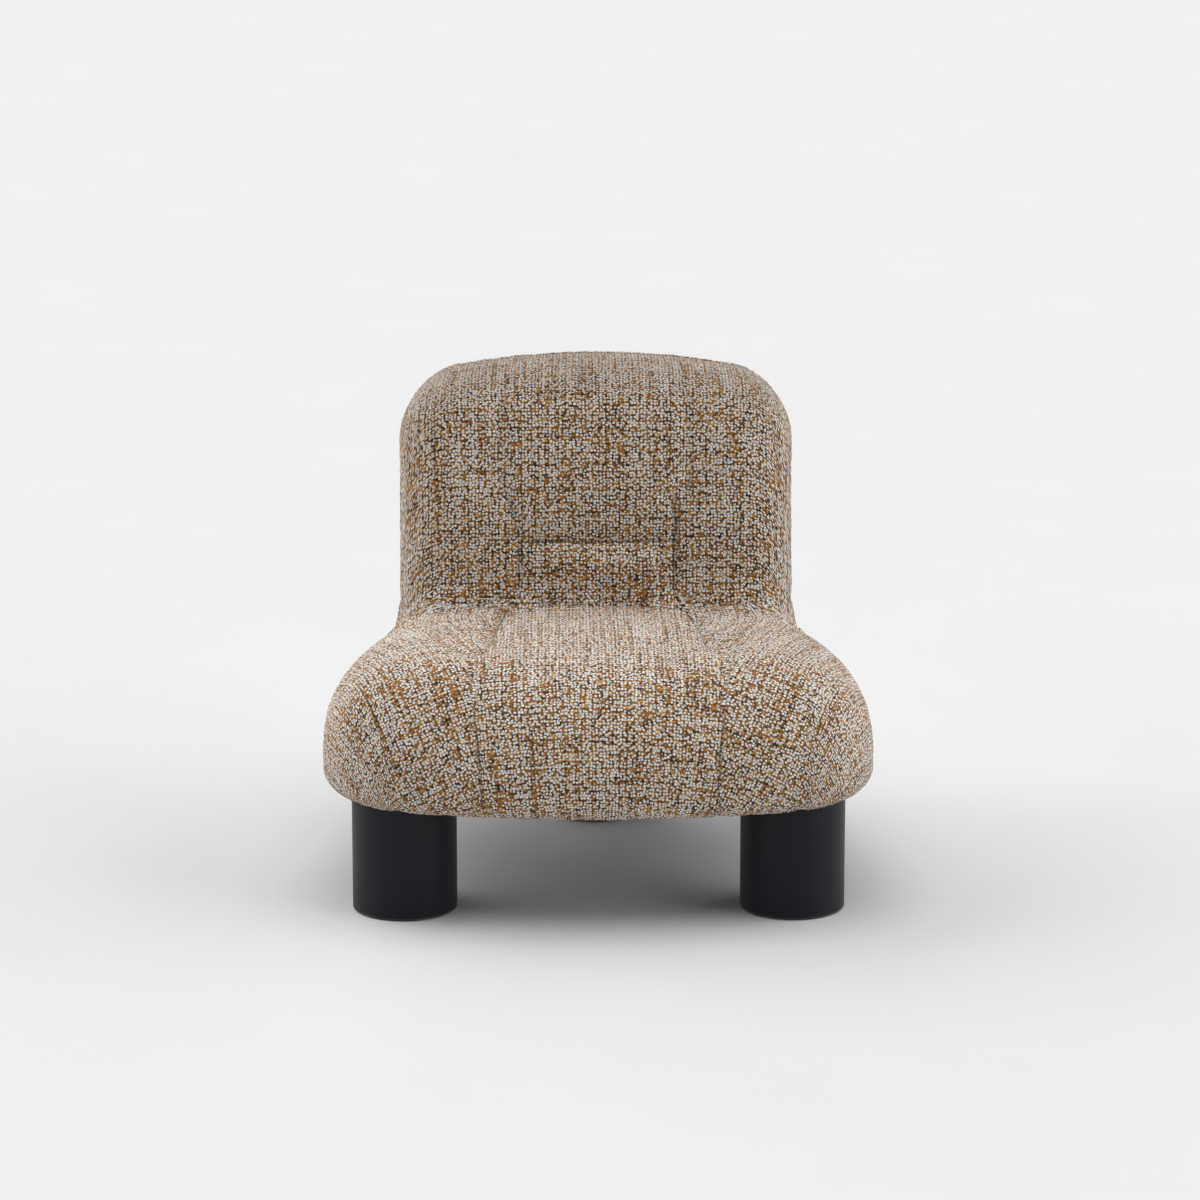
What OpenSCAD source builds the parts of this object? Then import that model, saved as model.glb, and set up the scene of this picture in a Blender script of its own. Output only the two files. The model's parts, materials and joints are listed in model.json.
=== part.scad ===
// Low armless lounge chair: a wide puffed seat flows into a narrower rounded back, on three fat round legs.
// Origin: on the floor, under the middle of the chair's box. +X to the sitter's left, +Y to the rear, +Z up.

/* [Seat] */
// Width of the seat at its widest
seat_width = 790; // [760:1:830]
// Depth of the upholstered body, front roll to outside back
body_depth = 728; // [715:1:760]
// Height of the flat fabric underside above the floor
underside_height = 156; // [150:1:170]
// Rise from the underside to the line where the seat is widest
waist_rise = 45; // [40:1:55]
// Rise from the underside to the top of the front roll
front_rise = 196; // [185:1:215]
// Rise of the seat's crown over a straight line from front roll to crease
seat_crown = 12; // [6:1:18]
// How far the sides of the front edge sweep back from its middle
front_bow = 66; // [50:1:80]
// Radius of the front corners, seen from above
front_corner = 105; // [90:1:115]
// Width of the zone in which the top of the seat rounds over its edge
top_round = 150; // [120:1:165]
// Width of the zone in which the underside rounds up to the edge
under_round = 58; // [50:1:66]

/* [Back] */
// Width of the back
back_width = 590; // [570:1:620]
// Height of the top of the back above the floor
overall_height = 707; // [690:1:740]
// Distance from the crease between seat and back to the rear of the body
back_depth = 230; // [220:1:242]
// Rise from the underside to the crease
crease_rise = 187; // [180:1:195]
// Recline of the back's front face, in degrees from upright
front_recline = 11.7; // [10:0.1:13]
// Forward lean of the outside back, in degrees from upright
outside_lean = 1.4; // [0.5:0.1:2.5]
// How far the corners of the top edge drop below its middle
top_bow = 38; // [25:1:50]
// Radius of the top corners, seen from the front
top_corner = 92; // [80:1:105]
// Width of the zone in which the back rounds over its edges
back_round = 70; // [60:1:78]
// Radius of the crease between seat and back
crease_radius = 28; // [22:1:34]
// Radius of the body's lower rear corner
rear_corner = 75; // [65:1:80]

/* [Cover] */
// Thickness of the woven cover
cover_t = 2; // [1.6:0.1:2.6]
// Clearance between the cover and what it lies on
cover_gap = 0.3; // [0.2:0.05:0.4]
// Half width of the centre seat panel at the front edge
panel_half = 186; // [170:1:200]
// Share by which the centre panel is drawn in at the crease
panel_draw = 0.17; // [0.1:0.01:0.22]
// Depth of the valley along a seam
seam_depth = 6; // [4:0.5:8]
// Width over which a seam's valley fades
seam_spread = 11; // [9:0.5:13]
// Distance up the back from the bend to the lumbar seam
lumbar_run = 93; // [85:1:100]
// Distance from the lumbar seam to the top of the side seams
dart_run = 119; // [110:1:130]
// Thickness of the black dust cover
dust_t = 1; // [0.8:0.1:1.5]
// How far the dust cover laps past the opening in the underside
dust_lap = 22; // [15:1:26]

/* [Legs] */
// Outside diameter of a leg
leg_d = 150; // [140:1:156]
// Wall of a leg
leg_wall = 3; // [2.5:0.1:4]
// Distance from the side of the seat to the centre of a front leg
leg_inset = 117; // [112:1:126]
// Distance from the front of the seat to the front legs' centres
front_leg_setback = 135; // [130:1:145]
// Distance from the rear leg's centre to the rear of the body
rear_leg_setback = 113; // [108:1:122]
// How far a leg reaches up past the fabric underside
leg_sink = 14; // [11:1:16]
// Thickness of the disc that closes a leg's top
leg_disc_t = 6; // [5:0.5:8]
// Thickness of the felt pad under a leg
felt_t = 2; // [1.5:0.1:3]
// Diameter of the felt pad
felt_d = 140; // [120:1:142]
// Thickness of the base cap's flange
cap_t = 2; // [1.5:0.1:3]
// Height of the base cap's spigot
spigot_h = 14; // [10:1:20]

/* [Frame] */
// Outside diameter of the frame tube
tube_d = 25; // [22:0.5:26]
// Wall of the frame tube
tube_wall = 2; // [1.5:0.1:3]
// Distance from the side of the back to the centres of a side rail and of the hoop's post
rail_inset = 80; // [76:1:90]
// How far the front rail runs past the centre of each front leg
front_rail_reach = 44; // [30:1:50]
// How far the rear rail runs past each side rail
rear_rail_reach = 25; // [20:1:30]
// Distance of the back hoop's foot in front of the rear rail
hoop_inset = 40; // [36:1:46]
// Recline of the back hoop, in degrees from upright
hoop_recline = 8; // [6.5:0.1:9]
// Distance from the top of the hoop to the top of the back
hoop_drop = 82; // [78:1:100]
// Bend radius of the hoop's top corners
hoop_bend = 80; // [70:1:90]
// Height of the brace across the hoop, along the posts
brace_run = 80; // [70:1:90]
// Thickness of the gussets at the feet of the hoop
gusset_t = 4; // [3:0.5:5]
// Length of a gusset along the rail and along the post
gusset_leg = 45; // [35:1:48]
// Diameter of a leg's mounting plate
plate_d = 126; // [120:1:136]
// Thickness of a leg's mounting plate
plate_t = 6; // [5:0.5:8]
// Diameter of the circle on which a leg's studs stand
stud_circle = 100; // [90:1:104]
// Diameter of a stud
stud_d = 8; // [6:0.5:9]
// Length of a stud below its plate
stud_length = 22; // [20:1:28]

/* [Webbing] */
// Width of a webbing strap
strap_w = 50; // [40:1:52]
// Thickness of a webbing strap
strap_t = 2; // [1.5:0.1:2.5]
// Number of straps in the seat
seat_straps = 5; // [3:1:5]
// Number of straps in the back
back_straps = 4; // [2:1:4]
// Distance up the posts to the middle of the first back strap
back_strap_start = 140; // [130:1:145]

/* [Hidden] */
$fn = 64;

// Running gap between pieces that seat on each other
fit = 0.3;
// Gap left by a weld between two tubes
weld_gap = 0.2;
// Overrun of a cutting tool past the face that it opens
over = 5;

seat_half = seat_width / 2;
back_half = back_width / 2;
front_y = -body_depth / 2;
rear_y = body_depth / 2;
waist_z = underside_height + waist_rise;

// Heights in the frame, from the legs up
leg_top_z = underside_height + leg_sink;
plate_top_z = leg_top_z + plate_t;
tube_r = tube_d / 2;
rail_z = plate_top_z + tube_r;
sleeve_in = tube_r + fit;
sleeve_out = sleeve_in + strap_t;
pocket_r = sleeve_out + fit;
pocket_top_z = rail_z + pocket_r;
front_leg_y = front_y + front_leg_setback;
rear_leg_y = rear_y - rear_leg_setback;
leg_spacing = seat_width - 2 * leg_inset;
hoop_y = rear_leg_y - hoop_inset;

// Profile of the body in the plane x = 0. Each of its three lines is straight, bends once and is straight
// again: inner carries the sitter, spine is the line of greatest width, outer is the underside and rear.
crease = [rear_y - back_depth, underside_height + crease_rise];
spine_base_share = 0.235;
spine_top_share = 0.5;
spine_bend = 130;
outer_tangent = rear_corner * tan((90 + outside_lean) / 2);
outer_corner = [rear_y + outer_tangent * sin(outside_lean), underside_height];
inner_end = [crease.x + (overall_height - crease.y) * tan(front_recline), overall_height];
outer_end = [outer_corner.x - (overall_height - underside_height) * tan(outside_lean), overall_height];
spine_corner = [crease.x + (outer_corner.x - crease.x) * spine_base_share, waist_z];
spine_end = [inner_end.x + (outer_end.x - inner_end.x) * spine_top_share, overall_height];
inner_line = [[front_y, underside_height + front_rise], crease, inner_end, crease_radius];
spine_line = [[front_y, waist_z], spine_corner, spine_end, spine_bend];
outer_line = [[front_y, underside_height], outer_corner, outer_end, rear_corner];

function unit(v) = v / norm(v);
function turn_left(v) = [-v.y, v.x];
function smooth(t) = let (c = min(max(t, 0), 1)) c * c * (3 - 2 * c);
function line_turn(l) = acos(unit(l[1] - l[0]) * unit(l[2] - l[1]));
function line_start(l) = l[1] - unit(l[1] - l[0]) * l[3] * tan(line_turn(l) / 2);
function line_finish(l) = l[1] + unit(l[2] - l[1]) * l[3] * tan(line_turn(l) / 2);

// A point on a bent line: 0 to 1 along its first leg, 1 to 2 round its bend and 2 to 3 along its second leg
function along(l, t) =
    let (
        a = line_start(l),
        b = line_finish(l),
        d = unit(l[1] - l[0]),
        n = turn_left(d),
        w = line_turn(l) * (t - 1)
    )
    t < 1 ? l[0] + (a - l[0]) * t
    : t < 2 ? a + n * l[3] + l[3] * (d * sin(w) - n * cos(w))
    : b + (l[2] - b) * (t - 2);

seat_run = norm(line_start(spine_line) - spine_line[0]);
bend_run = spine_bend * line_turn(spine_line) * PI / 180;
back_run = norm(spine_line[2] - line_finish(spine_line));
bend_end = seat_run + bend_run;
spine_run = bend_end + back_run;
lumbar_s = bend_end + lumbar_run;
dart_s = lumbar_s + dart_run;

// The underside is longer than the spine, so its points run ahead of the spine's towards the rear
under_share = seat_run / norm(line_start(outer_line) - outer_line[0]);
function under_station(t) = t < 1 ? t * (under_share + (1 - under_share) * t) : t;

function station(s) =
    s < seat_run ? s / seat_run
    : s < bend_end ? 1 + (s - seat_run) / bend_run
    : 2 + (s - bend_end) / back_run;

// The body's outline, laid flat along the spine: x across, s from the front edge to the top edge
neck_from = 0.5 * seat_run;
neck_to = bend_end + 0.4 * lumbar_run;
function neck(s) = smooth((s - neck_from) / (neck_to - neck_from));
function side_half(s) = seat_half + (back_half - seat_half) * neck(s);

// Depth inside a corner of the given radius, from the depths inside its two sides
function corner_depth(a, b, r) = max(r, min(a, b)) - norm([max(r - a, 0), max(r - b, 0)]);
function bow_depth(x, s, bow, half) =
    (s - bow * pow(x / half, 2)) / norm([1, 2 * bow * x / (half * half)]);
function inside_depth(x, s) =
    let (side = side_half(s) - abs(x))
    s < spine_run / 2
        ? corner_depth(bow_depth(x, s, front_bow, seat_half), side, front_corner)
        : corner_depth(bow_depth(x, spine_run - s, top_bow, back_half), side, top_corner);

// Fraction of full thickness at a depth inside the outline
function rounding(depth, zone, power) =
    let (t = 1 - min(max(depth, 0), zone) / zone) pow(1 - pow(t, power), 1 / power);
seat_power = 2.4;
under_power = 2.4;
back_power = 2.2;

// Grid over the flat outline. Columns run front to top, rows run across.
panel_share = panel_half / seat_half;
groove_col = 0.045;
half_columns = [
    0, 0.24, panel_share - groove_col, panel_share, panel_share + groove_col, 0.64, 0.76, 0.86, 0.94, 0.985, 1
];
half_count = len(half_columns) - 1;
columns = [for (k = [-half_count : half_count]) sign(k) * half_columns[abs(k)]];
col_count = len(columns) - 1;
seam_left = half_count - 3;
seam_right = half_count + 3;

end_steps = 6;
seat_steps = 4;
bend_steps = 4;
groove_row = 13;
lumbar_rows = [bend_end + lumbar_run / 2, lumbar_s - groove_row, lumbar_s, lumbar_s + groove_row];
dart_rows = [lumbar_s + dart_run / 2, dart_s];
rows = [
    for (k = [0 : end_steps]) top_round * (1 - cos(90 * k / end_steps)),
    for (k = [1 : seat_steps]) top_round + (seat_run - top_round) * k / seat_steps,
    for (k = [1 : bend_steps]) seat_run + bend_run * k / bend_steps,
    for (s = lumbar_rows) s,
    for (s = dart_rows) s,
    (dart_s + spine_run - back_round) / 2,
    for (k = [0 : end_steps]) spine_run - back_round * (1 - cos(90 * (1 - k / end_steps)))
];
row_count = len(rows) - 1;
row_bend = end_steps + seat_steps;
row_under = row_bend - 1;
row_lumbar = row_bend + bend_steps + 3;
row_dart = row_lumbar + 3;

// Half width of the body where a corner's arc passes halfway between front and side
front_reach = 0.9;
top_reach = 0.87;
function edge_of(column, low, high, from_top, steps = 24) =
    let (
        mid = (low + high) / 2,
        x = column * (from_top ? top_reach * back_half : front_reach * seat_half),
        inside = inside_depth(x, from_top ? spine_run - mid : mid) > 0
    )
    steps == 0 ? mid : edge_of(column, inside ? low : mid, inside ? mid : high, from_top, steps - 1);
function half_width(s, low, high, steps = 24) =
    let (mid = (low + high) / 2, inside = inside_depth(mid, s) > 0)
    steps == 0 ? mid : half_width(s, inside ? mid : low, inside ? high : mid, steps - 1);

front_edge = [for (u = columns) edge_of(u, -over, seat_half, false)];
top_edge = [for (u = columns) edge_of(u, -over, back_half, true)];
edge_fade = 1.3;
function row_place(i, s) =
    s + front_edge[i] * pow(max(0, 1 - s / seat_run), edge_fade)
      - top_edge[i] * pow(max(0, (s - dart_s) / (spine_run - dart_s)), edge_fade);
row_half = [
    for (j = [0 : row_count])
        j == 0 ? front_reach * seat_half
        : j == row_count ? top_reach * back_half
        : half_width(row_place(col_count, rows[j]), 0, seat_half + over)
];

// Share of the half width at which the side seam runs: drawn in from the middle of the seat to the lumbar seam
draw_from = 0.6 * top_round;
function seam_share(s) =
    let (drawn_in = smooth((s - draw_from) / top_round) * (1 - smooth((s - lumbar_s) / dart_run)))
    panel_share * (1 - panel_draw * drawn_in);
function drawn(u, s) =
    let (a = abs(u), k = seam_share(s))
    sign(u) * (a < panel_share ? a * k / panel_share : k + (a - panel_share) * (1 - k) / (1 - panel_share));

function on_edge(i, j) = i == 0 || i == col_count || j == 0 || j == row_count;
function body_point(low, i, j) =
    let (
        s = row_place(i, rows[j]),
        x = drawn(columns[i], rows[j]) * row_half[j],
        depth = on_edge(i, j) ? 0 : inside_depth(x, s),
        t = station(s),
        spine = along(spine_line, t),
        crown = [0, t < 1 ? seat_crown * sin(180 * t) : 0],
        zone = low ? under_round : top_round,
        power = low ? under_power : seat_power,
        face = low ? along(outer_line, under_station(t)) : along(inner_line, t) + crown,
        n = neck(s),
        share = rounding(depth, zone + (back_round - zone) * n, power + (back_power - power) * n),
        p = spine + (face - spine) * share
    )
    [x, p.x, p.y];

// skin[0] is the upper sheet, which carries the sitter. skin[1] is the lower sheet, underside and outside back.
skin = [for (low = [0, 1]) [for (i = [0 : col_count]) [for (j = [0 : row_count]) body_point(low == 1, i, j)]]];

function clamp_index(k, low, high) = min(max(k, low), high);
function sheet_normal(k, i, j) =
    let (g = skin[k])
    unit(cross(g[i + 1][j] - g[i - 1][j], g[i][j + 1] - g[i][j - 1])) * (k == 0 ? 1 : -1);

// On the outline the two sheets share one normal, square to the outline
function edge_normal(i, j) =
    let (
        g = skin[0],
        c = clamp_index(i, 1, col_count - 1),
        d = clamp_index(j, 1, row_count - 1),
        before = c == i ? g[i - 1][j] : d == j ? g[i][j - 1] : g[i][d],
        after = c == i ? g[i + 1][j] : d == j ? g[i][j + 1] : g[c][j],
        tangent = unit(after - before),
        mean = sheet_normal(0, c, d) + sheet_normal(1, c, d)
    )
    unit(mean - (mean * tangent) * tangent);
function normal(k, i, j) = on_edge(i, j) ? edge_normal(i, j) : sheet_normal(k, i, j);

// Depth of the seams' valleys at a grid point. A side seam's valley ends shallow at the top of the dart.
dart_end_share = 0.4;
function fade(distance) = exp(-pow(distance / seam_spread, 2));
function valley(k, i, j) =
    let (
        s = rows[j],
        side = abs(abs(columns[i]) - panel_share) * row_half[j],
        across = k == 0 && abs(columns[i]) < panel_share + groove_col / 2 ? fade(s - lumbar_s) : 0,
        along_side = (k == 0 && j <= row_dart) || (k == 1 && j < row_under) ? fade(side) : 0
    )
    seam_depth * max(across, along_side * (j == row_dart ? dart_end_share : 1));

function layer(inset) = [
    for (k = [0, 1]) for (i = [0 : col_count]) for (j = [0 : row_count])
        skin[k][i][j] - normal(k, i, j) * (inset + valley(k, i, j))
];
sheet_size = (col_count + 1) * (row_count + 1);
function vertex(l, k, i, j) = (l * 2 + (on_edge(i, j) ? 0 : k)) * sheet_size + i * (row_count + 1) + j;

// Two triangles for a four-sided face, split so that the mesh is symmetric and no corner folds flat
function split(q, flip) =
    flip ? [[q[0], q[1], q[3]], [q[1], q[2], q[3]]] : [[q[0], q[1], q[2]], [q[0], q[2], q[3]]];
function reversed(q) = [q[3], q[2], q[1], q[0]];
function cell(l, k, i, j, outward) =
    let (
        q = [vertex(l, k, i, j), vertex(l, k, i, j + 1), vertex(l, k, i + 1, j + 1), vertex(l, k, i + 1, j)],
        same = (i < col_count / 2) == (j < row_count / 2)
    )
    (k == 0) == outward ? split(q, !same) : split(reversed(q), same);

// Each side of a cell: the cell beyond it, and the two grid points that it joins
function beyond(k, i, j, side) =
    side == 0 ? (j == 0 ? [1 - k, i, j] : [k, i, j - 1])
    : side == 1 ? (i == col_count - 1 ? [1 - k, i, j] : [k, i + 1, j])
    : side == 2 ? (j == row_count - 1 ? [1 - k, i, j] : [k, i, j + 1])
    : (i == 0 ? [1 - k, i, j] : [k, i - 1, j]);
function side_ends(i, j, side) =
    side == 0 ? [[i, j], [i + 1, j]]
    : side == 1 ? [[i + 1, j], [i + 1, j + 1]]
    : side == 2 ? [[i + 1, j + 1], [i, j + 1]]
    : [[i, j + 1], [i, j]];

// Which panel of the cover a cell belongs to
SEAT_CENTRE = 0;
SIDE_LEFT = 1;
SIDE_RIGHT = 2;
INSIDE_BACK = 3;
OUTSIDE_BACK = 4;
function panel_of(k, i, j) =
    let (centre = i >= seam_left && i < seam_right)
    k == 1 && j >= row_under ? OUTSIDE_BACK
    : k == 0 && (centre ? j >= row_lumbar : j >= row_dart) ? INSIDE_BACK
    : centre ? SEAT_CENTRE
    : i < seam_left ? SIDE_RIGHT : SIDE_LEFT;

function wall(k, ends) =
    let (a = k == 0 ? ends[0] : ends[1], b = k == 0 ? ends[1] : ends[0])
    split([vertex(1, k, a.x, a.y), vertex(0, k, a.x, a.y), vertex(0, k, b.x, b.y), vertex(1, k, b.x, b.y)],
          a.x + a.y > b.x + b.y);
function panel_faces(panel) = [
    for (k = [0, 1]) for (i = [0 : col_count - 1]) for (j = [0 : row_count - 1])
        if (panel_of(k, i, j) == panel)
            each concat(
                cell(0, k, i, j, true),
                cell(1, k, i, j, false),
                [for (side = [0 : 3])
                    let (n = beyond(k, i, j, side))
                    if (panel_of(n[0], n[1], n[2]) != panel) each wall(k, side_ends(i, j, side))]
            )
];
cover_points = concat(layer(0), layer(cover_t));

foam_faces = [
    for (k = [0, 1]) for (i = [0 : col_count - 1]) for (j = [0 : row_count - 1]) each cell(0, k, i, j, true)
];

// The frame in plan: a front and a rear rail, joined by two side rails
rail_x = back_half - rail_inset;
front_rail_half = leg_spacing / 2 + front_rail_reach;
rear_rail_half = rail_x + rear_rail_reach;

// Plan of the opening in the underside, with room round the frame
opening_room = 8;
function opening_plan(room) =
    let (
        x0 = front_rail_half + room,
        x1 = rear_rail_half + room,
        y0 = front_leg_y - tube_r - room,
        y1 = rear_leg_y + tube_r + room
    )
    [[-x0, y0], [x0, y0], [x1, y1], [-x1, y1]];
dust_plan =
    let (p = opening_plan(opening_room + dust_lap), near = leg_spacing / 2)
    [[-near, p[0].y], [near, p[1].y], [p[1].x, front_leg_y], p[2], p[3], [p[0].x, front_leg_y]];
leg_centres = [[-leg_spacing / 2, front_leg_y], [leg_spacing / 2, front_leg_y], [0, rear_leg_y]];

// Round bars in the frame's plane, z = 0: across the chair, and from front to rear
module bar_across(y, half, r) {
    translate([-half, y, 0]) rotate([0, 90, 0]) cylinder(h = 2 * half, r = r);
}
module bar_along(x, y0, y1, r) {
    translate([x, y0, 0]) rotate([-90, 0, 0]) cylinder(h = y1 - y0, r = r);
}
module at_rail_height() {
    translate([0, 0, rail_z]) children();
}

// The hoop's plane: x across, y up the posts, with its front towards -z. Its posts are cut to a whole length.
hoop_top = round((overall_height - hoop_drop - rail_z) / cos(hoop_recline));
post_run = hoop_top - hoop_bend;
module in_hoop_plane() {
    translate([0, hoop_y, rail_z]) rotate([90 - hoop_recline, 0, 0]) mirror([0, 0, 1]) children();
}
module hoop_bar(r) {
    in_hoop_plane() {
        for (side = [-1, 1]) bar_along(side * rail_x, 0, post_run, r);
        bar_across(hoop_top, rail_x - hoop_bend, r);
        hoop_corner(0, rail_x - hoop_bend, r);
        hoop_corner(90, hoop_bend - rail_x, r);
    }
}
module hoop_corner(turn, x, r) {
    translate([x, post_run, 0])
        rotate([0, 0, turn])
            rotate_extrude(angle = 90)
                translate([hoop_bend, 0])
                    circle(r = r);
}

// Room for the frame inside the foam
module frame_pocket() {
    translate([0, 0, underside_height - over])
        linear_extrude(pocket_top_z - underside_height + over)
            polygon(opening_plan(opening_room));
    in_hoop_plane()
        translate([-rail_x - pocket_r, 0, -pocket_r])
            cube([2 * (rail_x + pocket_r), hoop_top + pocket_r, 2 * pocket_r]);
    for (side = [-1, 1])
        translate([side * rail_x - gusset_t / 2 - fit, hoop_y - 2 * tube_r - gusset_leg, rail_z])
            cube([gusset_t + 2 * fit, 2 * tube_r + gusset_leg, tube_r + weld_gap + gusset_leg + fit]);
    leg_wells(plate_top_z + fit);
}
module leg_wells(top) {
    for (c = leg_centres)
        translate([c.x, c.y, underside_height - over])
            cylinder(h = top - underside_height + over, r = leg_d / 2 + fit);
}
module underside_opening() {
    translate([0, 0, underside_height - over])
        linear_extrude(cover_t + 2 * over)
            polygon(opening_plan(opening_room));
    leg_wells(underside_height + waist_rise);
}

module cover_panel(panel) {
    difference() {
        polyhedron(points = cover_points, faces = panel_faces(panel), convexity = 6);
        underside_opening();
    }
}
module cover_seat_centre() { color("tan") cover_panel(SEAT_CENTRE); }
module cover_side_left() { color("tan") cover_panel(SIDE_LEFT); }
module cover_side_right() { color("tan") cover_panel(SIDE_RIGHT); }
module cover_inside_back() { color("tan") polyhedron(cover_points, panel_faces(INSIDE_BACK), convexity = 6); }
module cover_outside_back() { color("tan") cover_panel(OUTSIDE_BACK); }

// The foam is parted on a flat plane from the crease to the body's lower rear corner
module behind_parting() {
    slope = outer_corner - crease;
    reach = 2 * body_depth;
    translate([0, crease.x, crease.y])
        rotate([atan2(slope.y, slope.x), 0, 0])
            translate([-reach / 2, -reach / 2, 0])
                cube(reach);
}
module foam() {
    difference() {
        polyhedron(points = layer(cover_t + cover_gap), faces = foam_faces, convexity = 6);
        frame_pocket();
    }
}
module seat_foam() {
    color("khaki")
        difference() {
            foam();
            behind_parting();
        }
}
module back_foam() {
    color("khaki")
        intersection() {
            foam();
            behind_parting();
        }
}

module dust_cover() {
    color("black")
        difference() {
            translate([0, 0, underside_height - fit - dust_t])
                linear_extrude(dust_t)
                    polygon(dust_plan);
            leg_wells(underside_height + over);
        }
}

module rail_across(y, half) {
    color("dimgray")
        at_rail_height()
            difference() {
                bar_across(y, half, tube_r);
                bar_across(y, half + over, tube_r - tube_wall);
            }
}
module front_rail() { rail_across(front_leg_y, front_rail_half); }
module rear_rail() { rail_across(rear_leg_y, rear_rail_half); }

module hoop_rail() {
    color("dimgray")
        difference() {
            at_rail_height() bar_across(hoop_y, rail_x, tube_r);
            at_rail_height() bar_across(hoop_y, rail_x + over, tube_r - tube_wall);
            at_rail_height()
                for (side = [-1, 1]) bar_along(side * rail_x, front_leg_y, rear_leg_y, tube_r + weld_gap);
            in_hoop_plane()
                for (side = [-1, 1]) bar_along(side * rail_x, 0, post_run, tube_r + weld_gap);
        }
}

module side_rail(x) {
    color("dimgray")
        at_rail_height()
            difference() {
                bar_along(x, front_leg_y, rear_leg_y, tube_r);
                bar_along(x, front_leg_y - over, rear_leg_y + over, tube_r - tube_wall);
                for (y = [front_leg_y, rear_leg_y]) bar_across(y, front_rail_half, tube_r + weld_gap);
            }
}
module side_rail_left() { side_rail(rail_x); }
module side_rail_right() { side_rail(-rail_x); }

// Plugs that close the open ends of the front and rear rails
plug_head_t = 2;
plug_depth = 12;
module rail_plug() {
    cylinder(h = plug_head_t, r = tube_r);
    translate([0, 0, -plug_depth])
        cylinder(h = plug_depth + plug_head_t / 2, r = tube_r - tube_wall - weld_gap);
}
module rail_plugs() {
    color("black")
        at_rail_height()
            for (end = [[front_leg_y, front_rail_half], [rear_leg_y, rear_rail_half]])
                for (side = [0, 1])
                    mirror([side, 0, 0])
                        translate([end[1], end[0], 0])
                            rotate([0, 90, 0])
                                rail_plug();
}

module back_hoop() {
    color("dimgray")
        difference() {
            hoop_bar(tube_r);
            hoop_bar(tube_r - tube_wall);
            at_rail_height()
                for (side = [-1, 1]) bar_along(side * rail_x, front_leg_y, rear_leg_y, tube_r + weld_gap);
        }
}
module hoop_brace() {
    color("dimgray")
        in_hoop_plane()
            difference() {
                bar_across(brace_run, rail_x, tube_r);
                bar_across(brace_run, rail_x + over, tube_r - tube_wall);
                for (side = [-1, 1]) bar_along(side * rail_x, 0, post_run, tube_r + weld_gap);
            }
}

// Flat plates in the corners between the side rails and the hoop's posts
module hoop_gussets() {
    reach = tube_r + weld_gap;
    foot = [reach * tan(hoop_recline) - reach / cos(hoop_recline), reach];
    head = foot + gusset_leg * [sin(hoop_recline), cos(hoop_recline)];
    color("dimgray")
        for (side = [-1, 1])
            translate([side * rail_x - gusset_t / 2, hoop_y, rail_z])
                rotate([90, 0, 90])
                    linear_extrude(gusset_t)
                        polygon([foot, head, foot - [gusset_leg, 0]]);
}

// A strap across the chair that is sewn round a tube at each end, in the plane of the two tubes
strap_ease = 0.1;
module strap(y) {
    difference() {
        union() {
            translate([-rail_x, y - strap_w / 2, sleeve_in + strap_ease])
                cube([2 * rail_x, strap_w, strap_t - 2 * strap_ease]);
            strap_loops(y, sleeve_out, 0);
        }
        strap_loops(y, sleeve_in, over);
    }
}
module strap_loops(y, r, extra) {
    for (side = [-1, 1]) bar_along(side * rail_x, y - strap_w / 2 - extra, y + strap_w / 2 + extra, r);
}
module straps(count, from, to) {
    for (k = [0 : count - 1]) strap(from + (to - from) * k / (count - 1));
}

// The seat's straps lie between the front legs' mounting plates and the hoop's gussets
strap_space = 2;
plate_reach = sqrt(pow(plate_d / 2, 2) - pow(leg_spacing / 2 - rail_x - sleeve_out, 2));
seat_strap_from = front_leg_y + plate_reach + strap_w / 2 + strap_space;
seat_strap_to = hoop_y - sleeve_out - gusset_leg - strap_w / 2 - strap_space;
module seat_webbing() {
    color("darkslategray")
        at_rail_height()
            straps(seat_straps, seat_strap_from, seat_strap_to);
}
module back_webbing() {
    color("darkslategray")
        in_hoop_plane()
            mirror([0, 0, 1])
                straps(back_straps, back_strap_start, post_run - strap_w / 2 - strap_space);
}

module round_about(c) {
    translate([c.x, c.y, 0]) children();
}
module at_studs() {
    for (a = [45 : 90 : 315]) rotate([0, 0, a]) translate([stud_circle / 2, 0, 0]) children();
}
module mounting_plate(c) {
    color("dimgray")
        round_about(c) {
            translate([0, 0, leg_top_z]) cylinder(h = plate_t, r = plate_d / 2);
            at_studs()
                translate([0, 0, leg_top_z - stud_length])
                    cylinder(h = stud_length + plate_t / 2, r = stud_d / 2);
        }
}
module mounting_plate_right() { mounting_plate(leg_centres[0]); }
module mounting_plate_left() { mounting_plate(leg_centres[1]); }
module mounting_plate_rear() { mounting_plate(leg_centres[2]); }

stud_clearance = 0.5;
module leg(c) {
    bottom = felt_t + cap_t;
    color("black")
        round_about(c)
            difference() {
                translate([0, 0, bottom]) cylinder(h = leg_top_z - bottom, r = leg_d / 2);
                translate([0, 0, bottom - over])
                    cylinder(h = leg_top_z - leg_disc_t - bottom + over, r = leg_d / 2 - leg_wall);
                at_studs()
                    translate([0, 0, leg_top_z - leg_disc_t - over])
                        cylinder(h = leg_disc_t + 2 * over, r = stud_d / 2 + stud_clearance);
            }
}
module leg_right() { leg(leg_centres[0]); }
module leg_left() { leg(leg_centres[1]); }
module leg_rear() { leg(leg_centres[2]); }

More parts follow.
